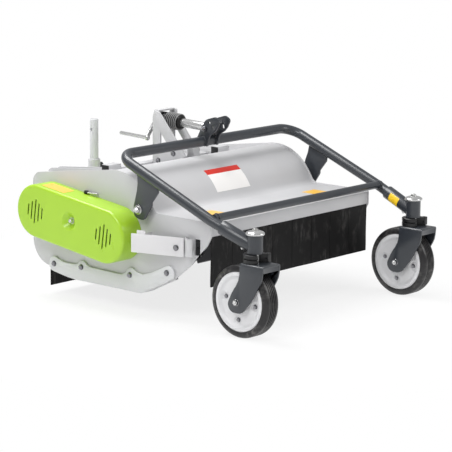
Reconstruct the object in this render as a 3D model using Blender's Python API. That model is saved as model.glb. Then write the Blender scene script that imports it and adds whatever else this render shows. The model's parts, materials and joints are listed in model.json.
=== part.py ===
"""Flail mulcher for a compact tractor, with a castor-wheel frame.

Machine frame: X across the machine, Y from the castor wheels (0 at their swivel
axes) back to the tractor, Z up from a base line just below the ground. All sizes
are in metres. The empty "machine" shifts this frame so that the world origin lies
on the ground under the middle of the machine.
"""
import math

import bpy
import bmesh
from mathutils import Vector
from mathutils.geometry import interpolate_bezier

# Clearances
GAP = 0.0003            # between two pieces that touch
RUN = 0.0005            # between a pin or shaft and its bore
GROUND = 0.007          # height of the ground over the base line

# Housing
HOUSING_WIDTH = 0.950   # over the side plates
SIDE_THICK = 0.006
SKIN_THICK = 0.004
DECK_HEIGHT = 0.4035    # flat front deck of the hood
FRONT_EDGE = 0.2185     # outer face of the front lip
REAR_EDGE = 1.170       # rear edge of the side plates
LIP_DEPTH = 0.050
CREST = (0.6015, 0.560)  # where the steep front and the top meet before rounding
CREST_RADIUS = 0.21
TOP_FALL = 0.135        # fall of the side plate's top edge per metre
SKIN_BREAK = 0.745      # where the skin turns down behind its crest
SKIN_FALL = 0.404       # fall of the skin's rear slope per metre
SHELF_FRONT = 0.985     # wall in front of the gearbox
SHELF_HEIGHT = 0.256    # floor under the gearbox
SHELF_REAR = 1.078

# Skids
SKID_BASE = 0.088       # underside of the flat runner
SKID_PLATE = 0.008
SKID_SOLE = 0.008
SKID_SOLE_WIDTH = 0.055
SKID_BOLTS = ((1.044, 0.135), (0.892, 0.143), (0.628, 0.151), (0.434, 0.188))
SKID_EARS = (           # centre, radius and swept angles of each ear
    (1.044, 0.136, 0.028, 18, 128), (0.886, 0.142, 0.027, 28, 152),
    (0.619, 0.148, 0.032, 18, 142), (0.425, 0.186, 0.030, 62, 212))
SKID_BOLT_HOLE = 0.0065

# Curtains
CURTAIN_THICK = 0.005
CURTAIN_BOTTOM = 0.162
CURTAIN_STRIPS = 8
SLIT = 0.003
REAR_CURTAIN_BOTTOM = 0.039

# Rotor and its flails
ROTOR_Y, ROTOR_Z = 0.680, 0.292
ROTOR_TUBE = 0.057
ROTOR_WALL = 0.008
ROTOR_DISC = 0.072
ROTOR_END = 0.458
STUB_SHAFT = 0.020
FLAIL_COUNT = 8
FLAIL_PITCH = 0.110
FLAIL_WIDTH = 0.100
FLAIL_PIVOT = 0.080     # radius of the flail pins about the rotor axis
FLAIL_LENGTH = 0.098    # from its pin to its edge
FLAIL_PIN = 0.007
FLAIL_EYE = 0.026       # width of the eye between its two lugs
LUG_PLATE = 0.008
LUG_TIP = 0.014
FLAIL_STOP = 100.0      # how far a flail swings each way from its radius
FLAIL_ROWS = (45.0, -135.0, 135.0, -45.0)   # pin rows, degrees from straight down

# Drive line
SHAFT_Y, SHAFT_Z = 1.045, 0.350
SHAFT_RADIUS = 0.0175
GEARBOX_HALF = 0.070
GEARBOX_DEPTH = 0.108
GEARBOX_HEIGHT = 0.134
INPUT_END = 1.235
DRIVE_PULLEY = 0.070
DRIVEN_PULLEY = 0.056
BELT_WIDTH = 0.034
BELT_THICK = 0.0075
PULLEY_FLANGE = 0.003
PULLEY_X = -0.522       # middle of the belt
BEARING_RADIUS = 0.052
BEARING_DEPTH = 0.020

# Belt guard
GUARD_FRONT = (0.676, 0.308)
GUARD_REAR = (1.049, 0.358)
GUARD_RADIUS = 0.105
GUARD_DEPTH = 0.104
GUARD_WALL = 0.003
GUARD_EDGE = 0.014      # rounding between face and rim
SLOT_PITCH = 0.019
SLOT_WIDTH = 0.0045
SLOT_LENGTHS = (0.045, 0.073, 0.099, 0.073, 0.045)
RECESS_RADIUS = 0.034
RECESS_BASE = 0.018
RECESS_DEPTH = 0.020

# Wheel frame
FRAME_HALF = 0.507      # tube centre lines
FRAME_TUBE = 0.020
FRAME_WALL = 0.003
FRAME_BAR_Y, FRAME_BAR_Z = 0.662, 0.6145
FRAME_SLOPE = 0.4035
FRAME_BEND = 0.075
FRAME_KNEE_Y = 0.195    # where the arms turn in to the castors
CROSS_BAR = 0.015
CROSS_BAR_Y, CROSS_BAR_Z = 0.181, 0.433
PIVOT_Y, PIVOT_Z = 0.561, 0.417
PIVOT_PIN = 0.010
PIVOT_BOSS = 0.028
BRACKET_THICK = 0.008
BRACKET_X = 0.501       # middle of the bracket's lower leg

# Castors
CASTOR_X = 0.480
CASTOR_TRAIL = 0.046
WHEEL_RADIUS = 0.1365
WHEEL_Z = GROUND + WHEEL_RADIUS
WHEEL_WIDTH = 0.076
RIM_RADIUS = 0.1115
WHEEL_FACETS = 24
BARREL_RADIUS = 0.029
BARREL_BOTTOM = 0.3245
BARREL_HEIGHT = 0.070
SPINDLE_RADIUS = 0.015
CAP_RADIUS = 0.0355
FORK_TOP = 0.292
FORK_PLATE = 0.007
FORK_INSIDE = 0.086
FORK_EYE = 0.040        # from the axle down to the cheek's lower edge
FORK_LIP = 0.026        # height of the lip that closes the fork's front
AXLE_RADIUS = 0.008
AXLE_HEAD = 0.008
CLIP_RADIUS = 0.044
SOCKET_RADIUS = 0.0255
SOCKET_LENGTH = 0.125
SOCKET_DEPTH = 0.045    # how far the frame tube sits in it

# Height-adjusting link
LINK_FRONT = (0.649, 0.667)   # pin in the frame lugs
LINK_REAR = (0.902, 0.6765)   # trunnions in the headstock
LINK_TUBE = 0.0175
LINK_BORE = 0.0135
SCREW_RADIUS = 0.011
BELLOWS_RADIUS = 0.0325
BELLOWS_ROOT = 0.027
BELLOWS_RIBS = 8
BELLOWS_WALL = 0.002
TRUNNION_PIN = 0.007
LINK_LUG_X = 0.030
LINK_LUG_THICK = 0.008
LINK_PIN = 0.007
LINK_PLAY = 0.0018      # play of the tube's eye on that pin
CRANK_REACH = 0.095
CRANK_HANDLE = 0.0075
HANDLE_LENGTH = 0.147

# Headstock and hitch
HEAD_HALF = 0.050       # middle of the headstock plates
HEAD_THICK = 0.008
HEAD_TOP = 0.718
HEAD_REAR = 0.914
BEAM_DEPTH = 0.040
BEAM_HEIGHT = 0.035
BEAM_WALL = 0.004
BEAM_HALF = 0.285
BEAM_Y = 0.9365
BRACE_RADIUS = 0.017
BRACE_X = 0.0725
HITCH_X = 0.3215        # middle of each lower-link clevis
HITCH_GAP = 0.039       # between its two plates
HITCH_THICK = 0.008
HITCH_PIN = 0.011       # category 1 pin, 22 mm
HITCH_PIN_Y, HITCH_PIN_Z = 1.190, 0.462
STUB_SIZE = 0.040
STUB_LENGTH = 0.066
STUB_Y = 0.883

# Parking stand
STAND_X, STAND_Y = -0.106, 1.195
STAND_RADIUS = 0.0175
STAND_TOP = 0.660
STAND_LENGTH = 0.500
STAND_WALL = 0.003
STAND_TRAVEL = 0.153
SLEEVE_RADIUS = 0.025
SLEEVE_TOP, SLEEVE_BOTTOM = 0.494, 0.400
STAND_PIN = 0.006
STAND_PIN_Z = 0.465

# Deflector bar in front of the belt guard
BUMPER_Z, BUMPER_HEIGHT = 0.299, 0.072
BUMPER_THICK = 0.006
BUMPER_BOLT_Y = 0.372

HALF = HOUSING_WIDTH / 2
INNER = HALF - SIDE_THICK
GUARD_FACE = -(HALF + GAP + GUARD_DEPTH)

WORLD_X = (GUARD_FACE + CASTOR_X + FORK_INSIDE / 2 + FORK_PLATE + AXLE_HEAD) / 2
WORLD_Y = (INPUT_END + CASTOR_TRAIL - WHEEL_RADIUS) / 2

COLOURS = {
    "body": ((0.56, 0.56, 0.57), 0.45, 0.0),
    "skid": ((0.68, 0.69, 0.70), 0.45, 0.0),
    "bare": ((0.75, 0.75, 0.76), 0.45, 0.0),
    "frame": ((0.055, 0.061, 0.068), 0.40, 0.0),
    "green": ((0.47, 0.73, 0.075), 0.35, 0.0),
    "rubber": ((0.012, 0.012, 0.012), 0.75, 0.0),
    "tyre": ((0.02, 0.02, 0.02), 0.70, 0.0),
    "rim": ((0.70, 0.68, 0.71), 0.40, 0.0),
    "zinc": ((0.62, 0.62, 0.62), 0.28, 1.0),
    "steel": ((0.35, 0.35, 0.35), 0.40, 1.0),
    "black": ((0.015, 0.015, 0.016), 0.50, 0.0),
    "dark": ((0.05, 0.05, 0.05), 0.60, 0.6),
}


def material_for(name, finish):
    """A Principled material of its own for each object."""
    colour, rough, metal = COLOURS[finish]
    mat = bpy.data.materials.new(name)
    mat.use_nodes = True
    shader = mat.node_tree.nodes["Principled BSDF"]
    shader.inputs["Base Color"].default_value = (*colour, 1.0)
    shader.inputs["Roughness"].default_value = rough
    shader.inputs["Metallic"].default_value = metal
    mat.diffuse_color = (*colour, 1.0)
    return mat


PIVOTS = {}


def pivot(name, point, parent=None):
    """An empty on a joint's axis, given in the machine frame."""
    empty = bpy.data.objects.new(name, None)
    empty.empty_display_size = 0.05
    bpy.context.scene.collection.objects.link(empty)
    PIVOTS[name] = Vector(point)
    if parent is None:
        empty.location = Vector(point)
    else:
        empty.parent = bpy.data.objects[parent]
        empty.location = Vector(point) - PIVOTS[parent]
    return name


def finish_mesh(name, bm, finish, parent="machine", cutter=False):
    """Turn a bmesh in the machine frame into an object under its pivot."""
    bmesh.ops.remove_doubles(bm, verts=bm.verts, dist=1e-6)
    bmesh.ops.recalc_face_normals(bm, faces=bm.faces)
    mesh = bpy.data.meshes.new(name)
    bmesh.ops.translate(bm, verts=bm.verts, vec=-PIVOTS[parent])
    bm.to_mesh(mesh)
    bm.free()
    obj = bpy.data.objects.new(name, mesh)
    bpy.context.scene.collection.objects.link(obj)
    obj.parent = bpy.data.objects[parent]
    mesh.shade_smooth()
    mesh.set_sharp_from_angle(angle=math.radians(35))
    if cutter:
        obj.hide_render = True
        obj.display_type = "WIRE"
    else:
        mesh.materials.append(material_for(name, finish))
    return obj


def combine(obj, other, operation):
    mod = obj.modifiers.new(operation.lower(), "BOOLEAN")
    mod.operation = operation
    mod.object = other
    mod.solver = "EXACT"
    return obj


def cut(obj, *cutters):
    for cutter in cutters:
        combine(obj, cutter, "DIFFERENCE")
    return obj


def weld(obj, *others):
    for other in others:
        combine(obj, other, "UNION")
    return obj


def arc(centre, radius, start, end, steps):
    """Points on an arc, angles in degrees, both ends included."""
    return [(centre[0] + radius * math.cos(math.radians(start + (end - start) * i / steps)),
             centre[1] + radius * math.sin(math.radians(start + (end - start) * i / steps)))
            for i in range(steps + 1)]


def circle(centre, radius, steps=24):
    return arc(centre, radius, 0, 360, steps)[:-1]


def rounded(corners, closed=True, step=15.0):
    """A polyline whose corners (u, v, radius) are rounded."""
    out = []
    count = len(corners)
    for i, (u, v, radius) in enumerate(corners):
        if radius <= 0 or (not closed and i in (0, count - 1)):
            out.append((u, v))
            continue
        here = Vector((u, v))
        back = Vector(corners[i - 1][:2]) - here
        ahead = Vector(corners[(i + 1) % count][:2]) - here
        back.normalize()
        ahead.normalize()
        half = math.acos(max(-1.0, min(1.0, back.dot(ahead)))) / 2
        turn = math.pi - 2 * half
        middle = (back + ahead).normalized()
        centre = here + middle * (radius / math.sin(half))
        first = here + back * (radius / math.tan(half)) - centre
        last = here + ahead * (radius / math.tan(half)) - centre
        side = 1 if first.x * last.y - first.y * last.x > 0 else -1
        steps = max(1, round(math.degrees(turn) / step))
        for k in range(steps + 1):
            angle = side * turn * k / steps
            out.append((centre.x + first.x * math.cos(angle) - first.y * math.sin(angle),
                        centre.y + first.x * math.sin(angle) + first.y * math.cos(angle)))
    return out


def offset_line(line, distance):
    """A polyline moved sideways, to its left for a positive distance."""
    out = []
    for i, point in enumerate(line):
        here = Vector(point)
        before = (here - Vector(line[i - 1])).normalized() if i else None
        after = (Vector(line[i + 1]) - here).normalized() if i < len(line) - 1 else None
        before = before or after
        after = after or before
        tangent = (before + after).normalized()
        normal = Vector((-tangent.y, tangent.x))
        out.append(tuple(here + normal * distance / max(0.3, tangent.dot(after))))
    return out


def to_world(axis, u, v, w):
    """Map a profile plane to the machine frame; w runs along the axis."""
    if axis == "X":
        return (w, u, v)
    if axis == "Y":
        return (u, w, v)
    return (u, v, w)


def prism(name, outline, low, high, axis, finish, parent="machine", holes=(),
          cutter=False, bevel=0.0):
    """An outline with holes, extruded along an axis from low to high."""
    bm = bmesh.new()
    edges = []
    for loop in (outline, *holes):
        verts = [bm.verts.new(to_world(axis, u, v, low)) for u, v in loop]
        edges += [bm.edges.new((verts[i - 1], verts[i])) for i in range(len(verts))]
    bmesh.ops.triangle_fill(bm, use_beauty=True, use_dissolve=False, edges=edges)
    faces = list(bm.faces)
    side = bmesh.ops.extrude_face_region(bm, geom=faces)
    moved = [g for g in side["geom"] if isinstance(g, bmesh.types.BMVert)]
    shift = Vector(to_world(axis, 0, 0, high - low))
    bmesh.ops.translate(bm, verts=moved, vec=shift)
    bmesh.ops.recalc_face_normals(bm, faces=bm.faces)
    obj = finish_mesh(name, bm, finish, parent, cutter)
    if bevel:
        mod = obj.modifiers.new("edge", "BEVEL")
        mod.width = bevel
        mod.segments = 1
        mod.limit_method = "ANGLE"
        mod.angle_limit = math.radians(60)
    return obj


def spin_profile(name, profile, centre, axis, finish, parent="machine", steps=24,
                 sweep=360.0, start=0.0, cutter=False):
    """Turn a profile of (radius, along) about an axis through centre.

    A profile that starts and ends on the axis makes a solid, any other is taken as
    a closed section. A sweep under 360 degrees gets flat ends.
    """
    bm = bmesh.new()
    closed = profile[0][0] > 1e-9 or profile[-1][0] > 1e-9
    full = sweep >= 360.0
    rings = []
    for k in range(steps if full else steps + 1):
        angle = math.radians(start + sweep * k / steps)
        ring = []
        for radius, along in profile:
            a, b = radius * math.cos(angle), radius * math.sin(angle)
            offset = {"X": (along, a, b), "Y": (a, along, b), "Z": (a, b, along)}[axis]
            ring.append(bm.verts.new(Vector(centre) + Vector(offset)))
        rings.append(ring)
    turns = len(rings) if full else len(rings) - 1
    count = len(profile)
    for k in range(turns):
        one, two = rings[k], rings[(k + 1) % len(rings)]
        for i in range(count if closed else count - 1):
            j = (i + 1) % count
            corners = [one[i], one[j], two[j], two[i]]
            bm.faces.new(corners)
    if not full:
        bm.faces.new(rings[0])
        bm.faces.new(rings[-1])
    bmesh.ops.remove_doubles(bm, verts=bm.verts, dist=1e-7)
    bmesh.ops.dissolve_degenerate(bm, edges=bm.edges, dist=1e-7)
    return finish_mesh(name, bm, finish, parent, cutter)


def bend_path(points, radii, step=15.0):
    """A 3-D polyline with its inner corners rounded to the given radii."""
    out = [Vector(points[0])]
    for i in range(1, len(points) - 1):
        here = Vector(points[i])
        back = (Vector(points[i - 1]) - here).normalized()
        ahead = (Vector(points[i + 1]) - here).normalized()
        half = back.angle(ahead) / 2
        radius = radii[i - 1]
        if radius <= 0:
            out.append(here)
            continue
        centre = here + (back + ahead).normalized() * (radius / math.sin(half))
        first = here + back * (radius / math.tan(half)) - centre
        last = here + ahead * (radius / math.tan(half)) - centre
        turn = first.angle(last)
        steps = max(2, round(math.degrees(turn) / step))
        for k in range(steps + 1):
            t = k / steps
            mix = (math.sin((1 - t) * turn) * first + math.sin(t * turn) * last) / math.sin(turn)
            out.append(centre + mix)
    out.append(Vector(points[-1]))
    return out


def sweep_tube(name, path, radius, finish, parent="machine", bore=0.0, steps=16, cutter=False):
    """A round tube along a path, hollow where a bore is given."""
    path = [Vector(p) for p in path]
    bm = bmesh.new()
    tangents = []
    for i in range(len(path)):
        before = path[i] - path[i - 1] if i else path[1] - path[0]
        after = path[i + 1] - path[i] if i < len(path) - 1 else before
        tangents.append((before.normalized() + after.normalized()).normalized())
    side = tangents[0].orthogonal().normalized()
    rings = []
    for i, tangent in enumerate(tangents):
        side = (side - tangent * side.dot(tangent)).normalized()
        up = tangent.cross(side)
        pair = []
        for r in ((radius, bore) if bore else (radius,)):
            pair.append([bm.verts.new(path[i] + r * (math.cos(a) * side + math.sin(a) * up))
                         for a in (2 * math.pi * k / steps for k in range(steps))])
        rings.append(pair)
    for i in range(len(rings) - 1):
        for layer in range(len(rings[0])):
            one, two = rings[i][layer], rings[i + 1][layer]
            for k in range(steps):
                j = (k + 1) % steps
                bm.faces.new((one[k], one[j], two[j], two[k]))
    for end in (rings[0], rings[-1]):
        if bore:
            for k in range(steps):
                j = (k + 1) % steps
                bm.faces.new((end[0][k], end[0][j], end[1][j], end[1][k]))
        else:
            bm.faces.new(end[0])
    return finish_mesh(name, bm, finish, parent, cutter)


def stadium(front, rear, radius, steps=12):
    """Outline round two centres, as two half circles and two straight sides."""
    lean = math.degrees(math.atan2(rear[1] - front[1], rear[0] - front[0]))
    return (arc(rear, radius, lean - 90, lean + 90, steps)
            + arc(front, radius, lean + 90, lean + 270, steps))


def rectangle(u0, u1, v0, v1):
    return [(u0, v0), (u1, v0), (u1, v1), (u0, v1)]


def square_tube(name, centre, size_u, size_v, wall, low, high, axis, finish, parent="machine"):
    u, v = centre
    a, b = size_u / 2, size_v / 2
    return prism(name, rectangle(u - a, u + a, v - b, v + b), low, high, axis, finish, parent,
                 holes=(rectangle(u - a + wall, u + a - wall, v - b + wall, v + b - wall),))


for old in list(bpy.data.objects):
    bpy.data.objects.remove(old, do_unlink=True)

root = bpy.data.objects.new("machine", None)
bpy.context.scene.collection.objects.link(root)
root.location = (-WORLD_X, -WORLD_Y, -GROUND)
PIVOTS["machine"] = Vector((0.0, 0.0, 0.0))

frame_pivot = pivot("frame_pivot", (0, PIVOT_Y, PIVOT_Z), "machine")
rotor_axis = pivot("rotor_axis", (0, ROTOR_Y, ROTOR_Z), "machine")
shaft_axis = pivot("shaft_axis", (0, SHAFT_Y, SHAFT_Z), "machine")
link_rear = pivot("link_rear", (0, *LINK_REAR), "machine")
link_front = pivot("link_front", (0, *LINK_FRONT), "machine")
stand_axis = pivot("stand_axis", (STAND_X, STAND_Y, STAND_TOP), "machine")


# Side profile of the housing, in the Y-Z plane

def top_line(y):
    """Height of the side plate's straight top edge."""
    return CREST[1] - TOP_FALL * (y - CREST[0])


def skin_line(y):
    """Height of the skin's rear slope."""
    return top_line(SKIN_BREAK) - SKIN_FALL * (y - SKIN_BREAK)


front_profile = [
    (FRONT_EDGE, DECK_HEIGHT, 0.006),
    (0.500, DECK_HEIGHT, 0.040),
    (CREST[0], CREST[1], CREST_RADIUS),
]
side_outline = rounded(front_profile + [
    (REAR_EDGE, top_line(REAR_EDGE), 0.045),
    (REAR_EDGE, 0.134, 0.100),
    (0.940, SKID_BASE + SKID_SOLE + 0.006, 0.250),
    (0.570, SKID_BASE + SKID_SOLE + 0.006, 0.030),
    (0.400, 0.186, 0.300),
    (0.232, 0.312, 0.060),
    (FRONT_EDGE - 0.001, 0.352, 0.010),
], step=11.0)
skin_top = rounded([(FRONT_EDGE, DECK_HEIGHT - LIP_DEPTH, 0)] + front_profile + [
    (SKIN_BREAK, top_line(SKIN_BREAK), 0.020),
    (0.971, skin_line(0.971), 0.025),
    (SHELF_FRONT, SHELF_HEIGHT, 0.025),
    (SHELF_REAR, SHELF_HEIGHT - 0.008, 0.006),
    (SHELF_REAR, SHELF_HEIGHT - 0.036, 0),
], closed=False, step=9.0)

hood = prism("hood", skin_top + offset_line(skin_top, -SKIN_THICK)[::-1],
             -INNER + GAP, INNER - GAP, "X", "body")

for side, sign in (("left", -1), ("right", 1)):
    low, high = sorted((sign * HALF, sign * INNER))
    holes = [circle((ROTOR_Y, ROTOR_Z), STUB_SHAFT + 0.004, 20)]
    if side == "left":
        holes.append(circle((SHAFT_Y, SHAFT_Z), SHAFT_RADIUS + 0.004, 20))
        holes.append(rectangle(0.272, 0.299, 0.274, 0.336))
    plate = prism("side_plate_" + side, side_outline, low, high, "X", "body", holes=holes)
    if side == "left":
        # Rolled cheek beside the slot, open to the front
        curl = arc((0.3065, -HALF), 0.031, 0, -125, 8)
        strip = curl + offset_line(curl, -0.003)[::-1]
        strip = [(x, y) for y, x in strip]
        cheek = prism("cheek_shape", [(x + 0.001, y) for x, y in strip], 0.271, 0.339, "Z",
                      "body", cutter=True)
        weld(plate, cheek)

# Skids: an eared plate outside each side plate, with a bent sole under it
sole_line = rounded([
    (1.068, 0.109, 0),
    (1.045, 0.103, 0.120),
    (0.950, SKID_BASE, 0.250),
    (0.566, SKID_BASE, 0.030),
    (0.425, 0.1565, 0),
], closed=False, step=13.0)
ears = []
for y, z, radius, start, end in SKID_EARS:
    ears += arc((y, z), radius, start, end, 7)
    if y > 1.0:
        ears += [(0.990, 0.148), (0.935, 0.148)]
    elif y > 0.8:
        ears += [(0.845, 0.149), (0.676, 0.146)]
    elif y > 0.5:
        ears += [(0.561, 0.163), (0.512, 0.178)]
plate_line = offset_line(sole_line, -SKID_SOLE / 2)[1:-1][::-1]
skid_outline = plate_line + [(1.071, 0.117)] + ears
for side, sign in (("left", -1), ("right", 1)):
    low, high = sorted((sign * (HALF + GAP), sign * (HALF + GAP + SKID_PLATE)))
    skid = prism("skid_" + side, skid_outline, low, high, "X", "skid",
                 holes=[circle(b, SKID_BOLT_HOLE, 8) for b in SKID_BOLTS])
    edge = HALF + GAP + SKID_PLATE - 0.0005
    inside, outside = sorted((sign * edge, sign * (edge - SKID_SOLE_WIDTH)))
    sole = prism("sole_shape_" + side,
                 sole_line + offset_line(sole_line, -SKID_SOLE)[::-1],
                 inside, outside, "X", "skid", cutter=True)
    weld(skid, sole)

# Front curtain: one rubber sheet slit into strips
curtain_half = INNER - 0.0010
curtain_top = DECK_HEIGHT - SKIN_THICK - 0.006
strip_width = 2 * curtain_half / CURTAIN_STRIPS
comb = [(-curtain_half, curtain_top), (-curtain_half, CURTAIN_BOTTOM)]
for k in range(1, CURTAIN_STRIPS):
    x = -curtain_half + k * strip_width
    comb += [(x - SLIT / 2, CURTAIN_BOTTOM), (x - SLIT / 2, curtain_top - 0.050),
             (x + SLIT / 2, curtain_top - 0.050), (x + SLIT / 2, CURTAIN_BOTTOM)]
comb += [(curtain_half, CURTAIN_BOTTOM), (curtain_half, curtain_top)]
curtain_y = FRONT_EDGE + SKIN_THICK + GAP
prism("front_curtain", comb, curtain_y, curtain_y + CURTAIN_THICK, "Y", "rubber")
rear_y = SHELF_REAR + GAP
rear_half = HALF + SKID_PLATE - SKID_SOLE_WIDTH - 0.004
rear_step = 0.175       # the sheet is narrower between the soles
prism("rear_curtain", [
    (-curtain_half, SHELF_HEIGHT - 0.012), (-curtain_half, rear_step), (-rear_half, rear_step),
    (-rear_half, REAR_CURTAIN_BOTTOM), (rear_half, REAR_CURTAIN_BOTTOM),
    (rear_half, rear_step), (curtain_half, rear_step), (curtain_half, SHELF_HEIGHT - 0.012)],
      rear_y, rear_y + CURTAIN_THICK, "Y", "rubber")

# Rotor: tube, end discs and stub shafts turned in one profile, lugs welded on
rotor = spin_profile("rotor", [
    (0, -0.560), (SHAFT_RADIUS, -0.560), (SHAFT_RADIUS, -HALF - BEARING_DEPTH - 0.004),
    (STUB_SHAFT, -HALF - BEARING_DEPTH - 0.002), (STUB_SHAFT, -ROTOR_END),
    (ROTOR_DISC, -ROTOR_END), (ROTOR_DISC, -ROTOR_END + 0.008),
    (ROTOR_TUBE, -ROTOR_END + 0.008), (ROTOR_TUBE, ROTOR_END - 0.008),
    (ROTOR_DISC, ROTOR_END - 0.008), (ROTOR_DISC, ROTOR_END),
    (STUB_SHAFT, ROTOR_END), (STUB_SHAFT, HALF + BEARING_DEPTH + 0.004),
    (0, HALF + BEARING_DEPTH + 0.004)],
    (0, ROTOR_Y, ROTOR_Z), "X", "dark", rotor_axis, steps=16)


def row_point(angle, radius):
    """A point in Y-Z at an angle from straight down about the rotor axis."""
    a = math.radians(angle)
    return (ROTOR_Y + radius * math.sin(a), ROTOR_Z - radius * math.cos(a))


lugs = bmesh.new()
flail_stations = []
for k in range(FLAIL_COUNT):
    x = (k - (FLAIL_COUNT - 1) / 2) * FLAIL_PITCH
    angle = FLAIL_ROWS[k % len(FLAIL_ROWS)]
    flail_stations.append((x, angle))
    outward = Vector(row_point(angle, 1)) - Vector((ROTOR_Y, ROTOR_Z))
    across = Vector((outward.y, -outward.x))
    centre = Vector((ROTOR_Y, ROTOR_Z))
    tip = centre + outward * FLAIL_PIVOT
    foot = centre + outward * (ROTOR_TUBE - 0.004)
    round_end = [tip + LUG_TIP * (math.cos(a) * across + math.sin(a) * outward)
                 for a in (math.pi * i / 5 for i in range(6))]
    loop = [foot + across * 0.022] + round_end + [foot - across * 0.022]
    inner, outer = FLAIL_EYE / 2 + RUN, FLAIL_EYE / 2 + RUN + LUG_PLATE
    for low, high in ((x - outer, x - inner), (x + inner, x + outer)):
        one = [lugs.verts.new((low, p.x, p.y)) for p in loop]
        two = [lugs.verts.new((high, p.x, p.y)) for p in loop]
        lugs.faces.new(one)
        lugs.faces.new(two[::-1])
        for i in range(len(loop)):
            lugs.faces.new((one[i - 1], one[i], two[i], two[i - 1]))
    flail_stations[-1] = (x, angle, tip.x, tip.y)
lug_shapes = finish_mesh("lug_shapes", lugs, "dark", rotor_axis, cutter=True)
pin_mesh = bmesh.new()
for x, angle, y, z in flail_stations:
    inner = FLAIL_EYE / 2 + RUN
    ring = circle((y, z), FLAIL_PIN, 8)
    one = [pin_mesh.verts.new((x - inner - 0.004, p[0], p[1])) for p in ring]
    two = [pin_mesh.verts.new((x + inner + 0.004, p[0], p[1])) for p in ring]
    pin_mesh.faces.new(one)
    pin_mesh.faces.new(two[::-1])
    for i in range(len(ring)):
        pin_mesh.faces.new((one[i - 1], one[i], two[i], two[i - 1]))
pin_shapes = finish_mesh("pin_shapes", pin_mesh, "dark", rotor_axis, cutter=True)
hollow = spin_profile("rotor_hollow", [
    (0, -ROTOR_END + 0.010), (ROTOR_TUBE - ROTOR_WALL, -ROTOR_END + 0.010),
    (ROTOR_TUBE - ROTOR_WALL, ROTOR_END - 0.010), (0, ROTOR_END - 0.010)],
    (0, ROTOR_Y, ROTOR_Z), "X", "dark", rotor_axis, steps=12, cutter=True)
vent = spin_profile("rotor_vent", [
    (0, -ROTOR_END - 0.01), (0.005, -ROTOR_END - 0.01), (0.005, -ROTOR_END + 0.02),
    (0, -ROTOR_END + 0.02)], (0, ROTOR_Y + 0.034, ROTOR_Z), "X", "dark", rotor_axis, steps=8,
    cutter=True)
weld(rotor, lug_shapes, pin_shapes)
cut(rotor, hollow, vent)

# Flails: a forged hammer whose narrow eye widens to the cutting head. They hang
# straight down, or as near to it as their stops let them.
for k, (x, angle, y, z) in enumerate(flail_stations):
    swing = max(-FLAIL_STOP, min(FLAIL_STOP, -angle))
    hinge = pivot(f"flail_{k + 1}_pin", (x, y, z), rotor_axis)
    down = math.radians(angle + swing)
    along = Vector((math.sin(down), -math.cos(down)))
    across = Vector((along.y, -along.x))

    def at(u, v):
        """A point u along the flail and v across it."""
        point = Vector((y, z)) + along * u + across * v
        return (point.x, point.y)

    eye = [at(0.012 * math.cos(a), 0.012 * math.sin(a))
           for a in (math.radians(90 + 180 * i / 6) for i in range(7))]
    neck = eye + [at(0.045, -0.010), at(0.045, 0.010)]
    bore = [at((FLAIL_PIN + RUN) * math.cos(a), (FLAIL_PIN + RUN) * math.sin(a))
            for a in (2 * math.pi * i / 10 for i in range(10))]
    flail = prism(f"flail_{k + 1}", neck, x - FLAIL_EYE / 2, x + FLAIL_EYE / 2, "X", "steel",
                  hinge, holes=(bore,))
    head = [at(0.036, -0.009), at(0.070, -0.012), at(FLAIL_LENGTH, 0.004),
            at(FLAIL_LENGTH - 0.006, 0.013), at(0.036, 0.009)]
    head_shape = prism(f"flail_{k + 1}_head", head, x - FLAIL_WIDTH / 2, x + FLAIL_WIDTH / 2,
                       "X", "steel", hinge, cutter=True)
    weld(flail, head_shape)


def pulley(name, radius, centre, bore, finish, parent):
    """A flat-rimmed poly-V pulley with flanges and a dished web."""
    half = BELT_WIDTH / 2 + RUN
    edge = half + PULLEY_FLANGE
    lip = radius + BELT_THICK * 0.8
    return spin_profile(name, [
        (bore, -edge), (radius - 0.020, -edge), (radius - 0.012, -edge), (lip, -edge),
        (lip, -half), (radius, -half), (radius, half), (lip, half), (lip, edge),
        (radius - 0.012, edge), (radius - 0.016, edge - 0.014), (bore + 0.010, edge - 0.014),
        (bore + 0.008, edge), (bore, edge)],
        centre, "X", finish, parent, steps=16)


pulley("driven_pulley", DRIVEN_PULLEY, (PULLEY_X, ROTOR_Y, ROTOR_Z), SHAFT_RADIUS + GAP,
       "steel", rotor_axis)

# Cross shaft and its pulley, made in one piece with its key
cross = spin_profile("cross_shaft", [
    (0, PULLEY_X - 0.030), (0.014, PULLEY_X - 0.030), (0.014, PULLEY_X - 0.021),
    (DRIVE_PULLEY - 0.018, PULLEY_X - 0.017),
    (DRIVE_PULLEY - 0.012, PULLEY_X - BELT_WIDTH / 2 - RUN - PULLEY_FLANGE),
    (DRIVE_PULLEY + BELT_THICK * 0.8, PULLEY_X - BELT_WIDTH / 2 - RUN - PULLEY_FLANGE),
    (DRIVE_PULLEY + BELT_THICK * 0.8, PULLEY_X - BELT_WIDTH / 2 - RUN),
    (DRIVE_PULLEY, PULLEY_X - BELT_WIDTH / 2 - RUN),
    (DRIVE_PULLEY, PULLEY_X + BELT_WIDTH / 2 + RUN),
    (DRIVE_PULLEY + BELT_THICK * 0.8, PULLEY_X + BELT_WIDTH / 2 + RUN),
    (DRIVE_PULLEY + BELT_THICK * 0.8, PULLEY_X + BELT_WIDTH / 2 + RUN + PULLEY_FLANGE),
    (SHAFT_RADIUS + 0.008, PULLEY_X + BELT_WIDTH / 2 + RUN + PULLEY_FLANGE),
    (SHAFT_RADIUS, PULLEY_X + BELT_WIDTH / 2 + 0.008),
    (SHAFT_RADIUS, -GEARBOX_HALF + 0.015), (0, -GEARBOX_HALF + 0.015)],
    (0, SHAFT_Y, SHAFT_Z), "X", "steel", shaft_axis, steps=16)

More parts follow.
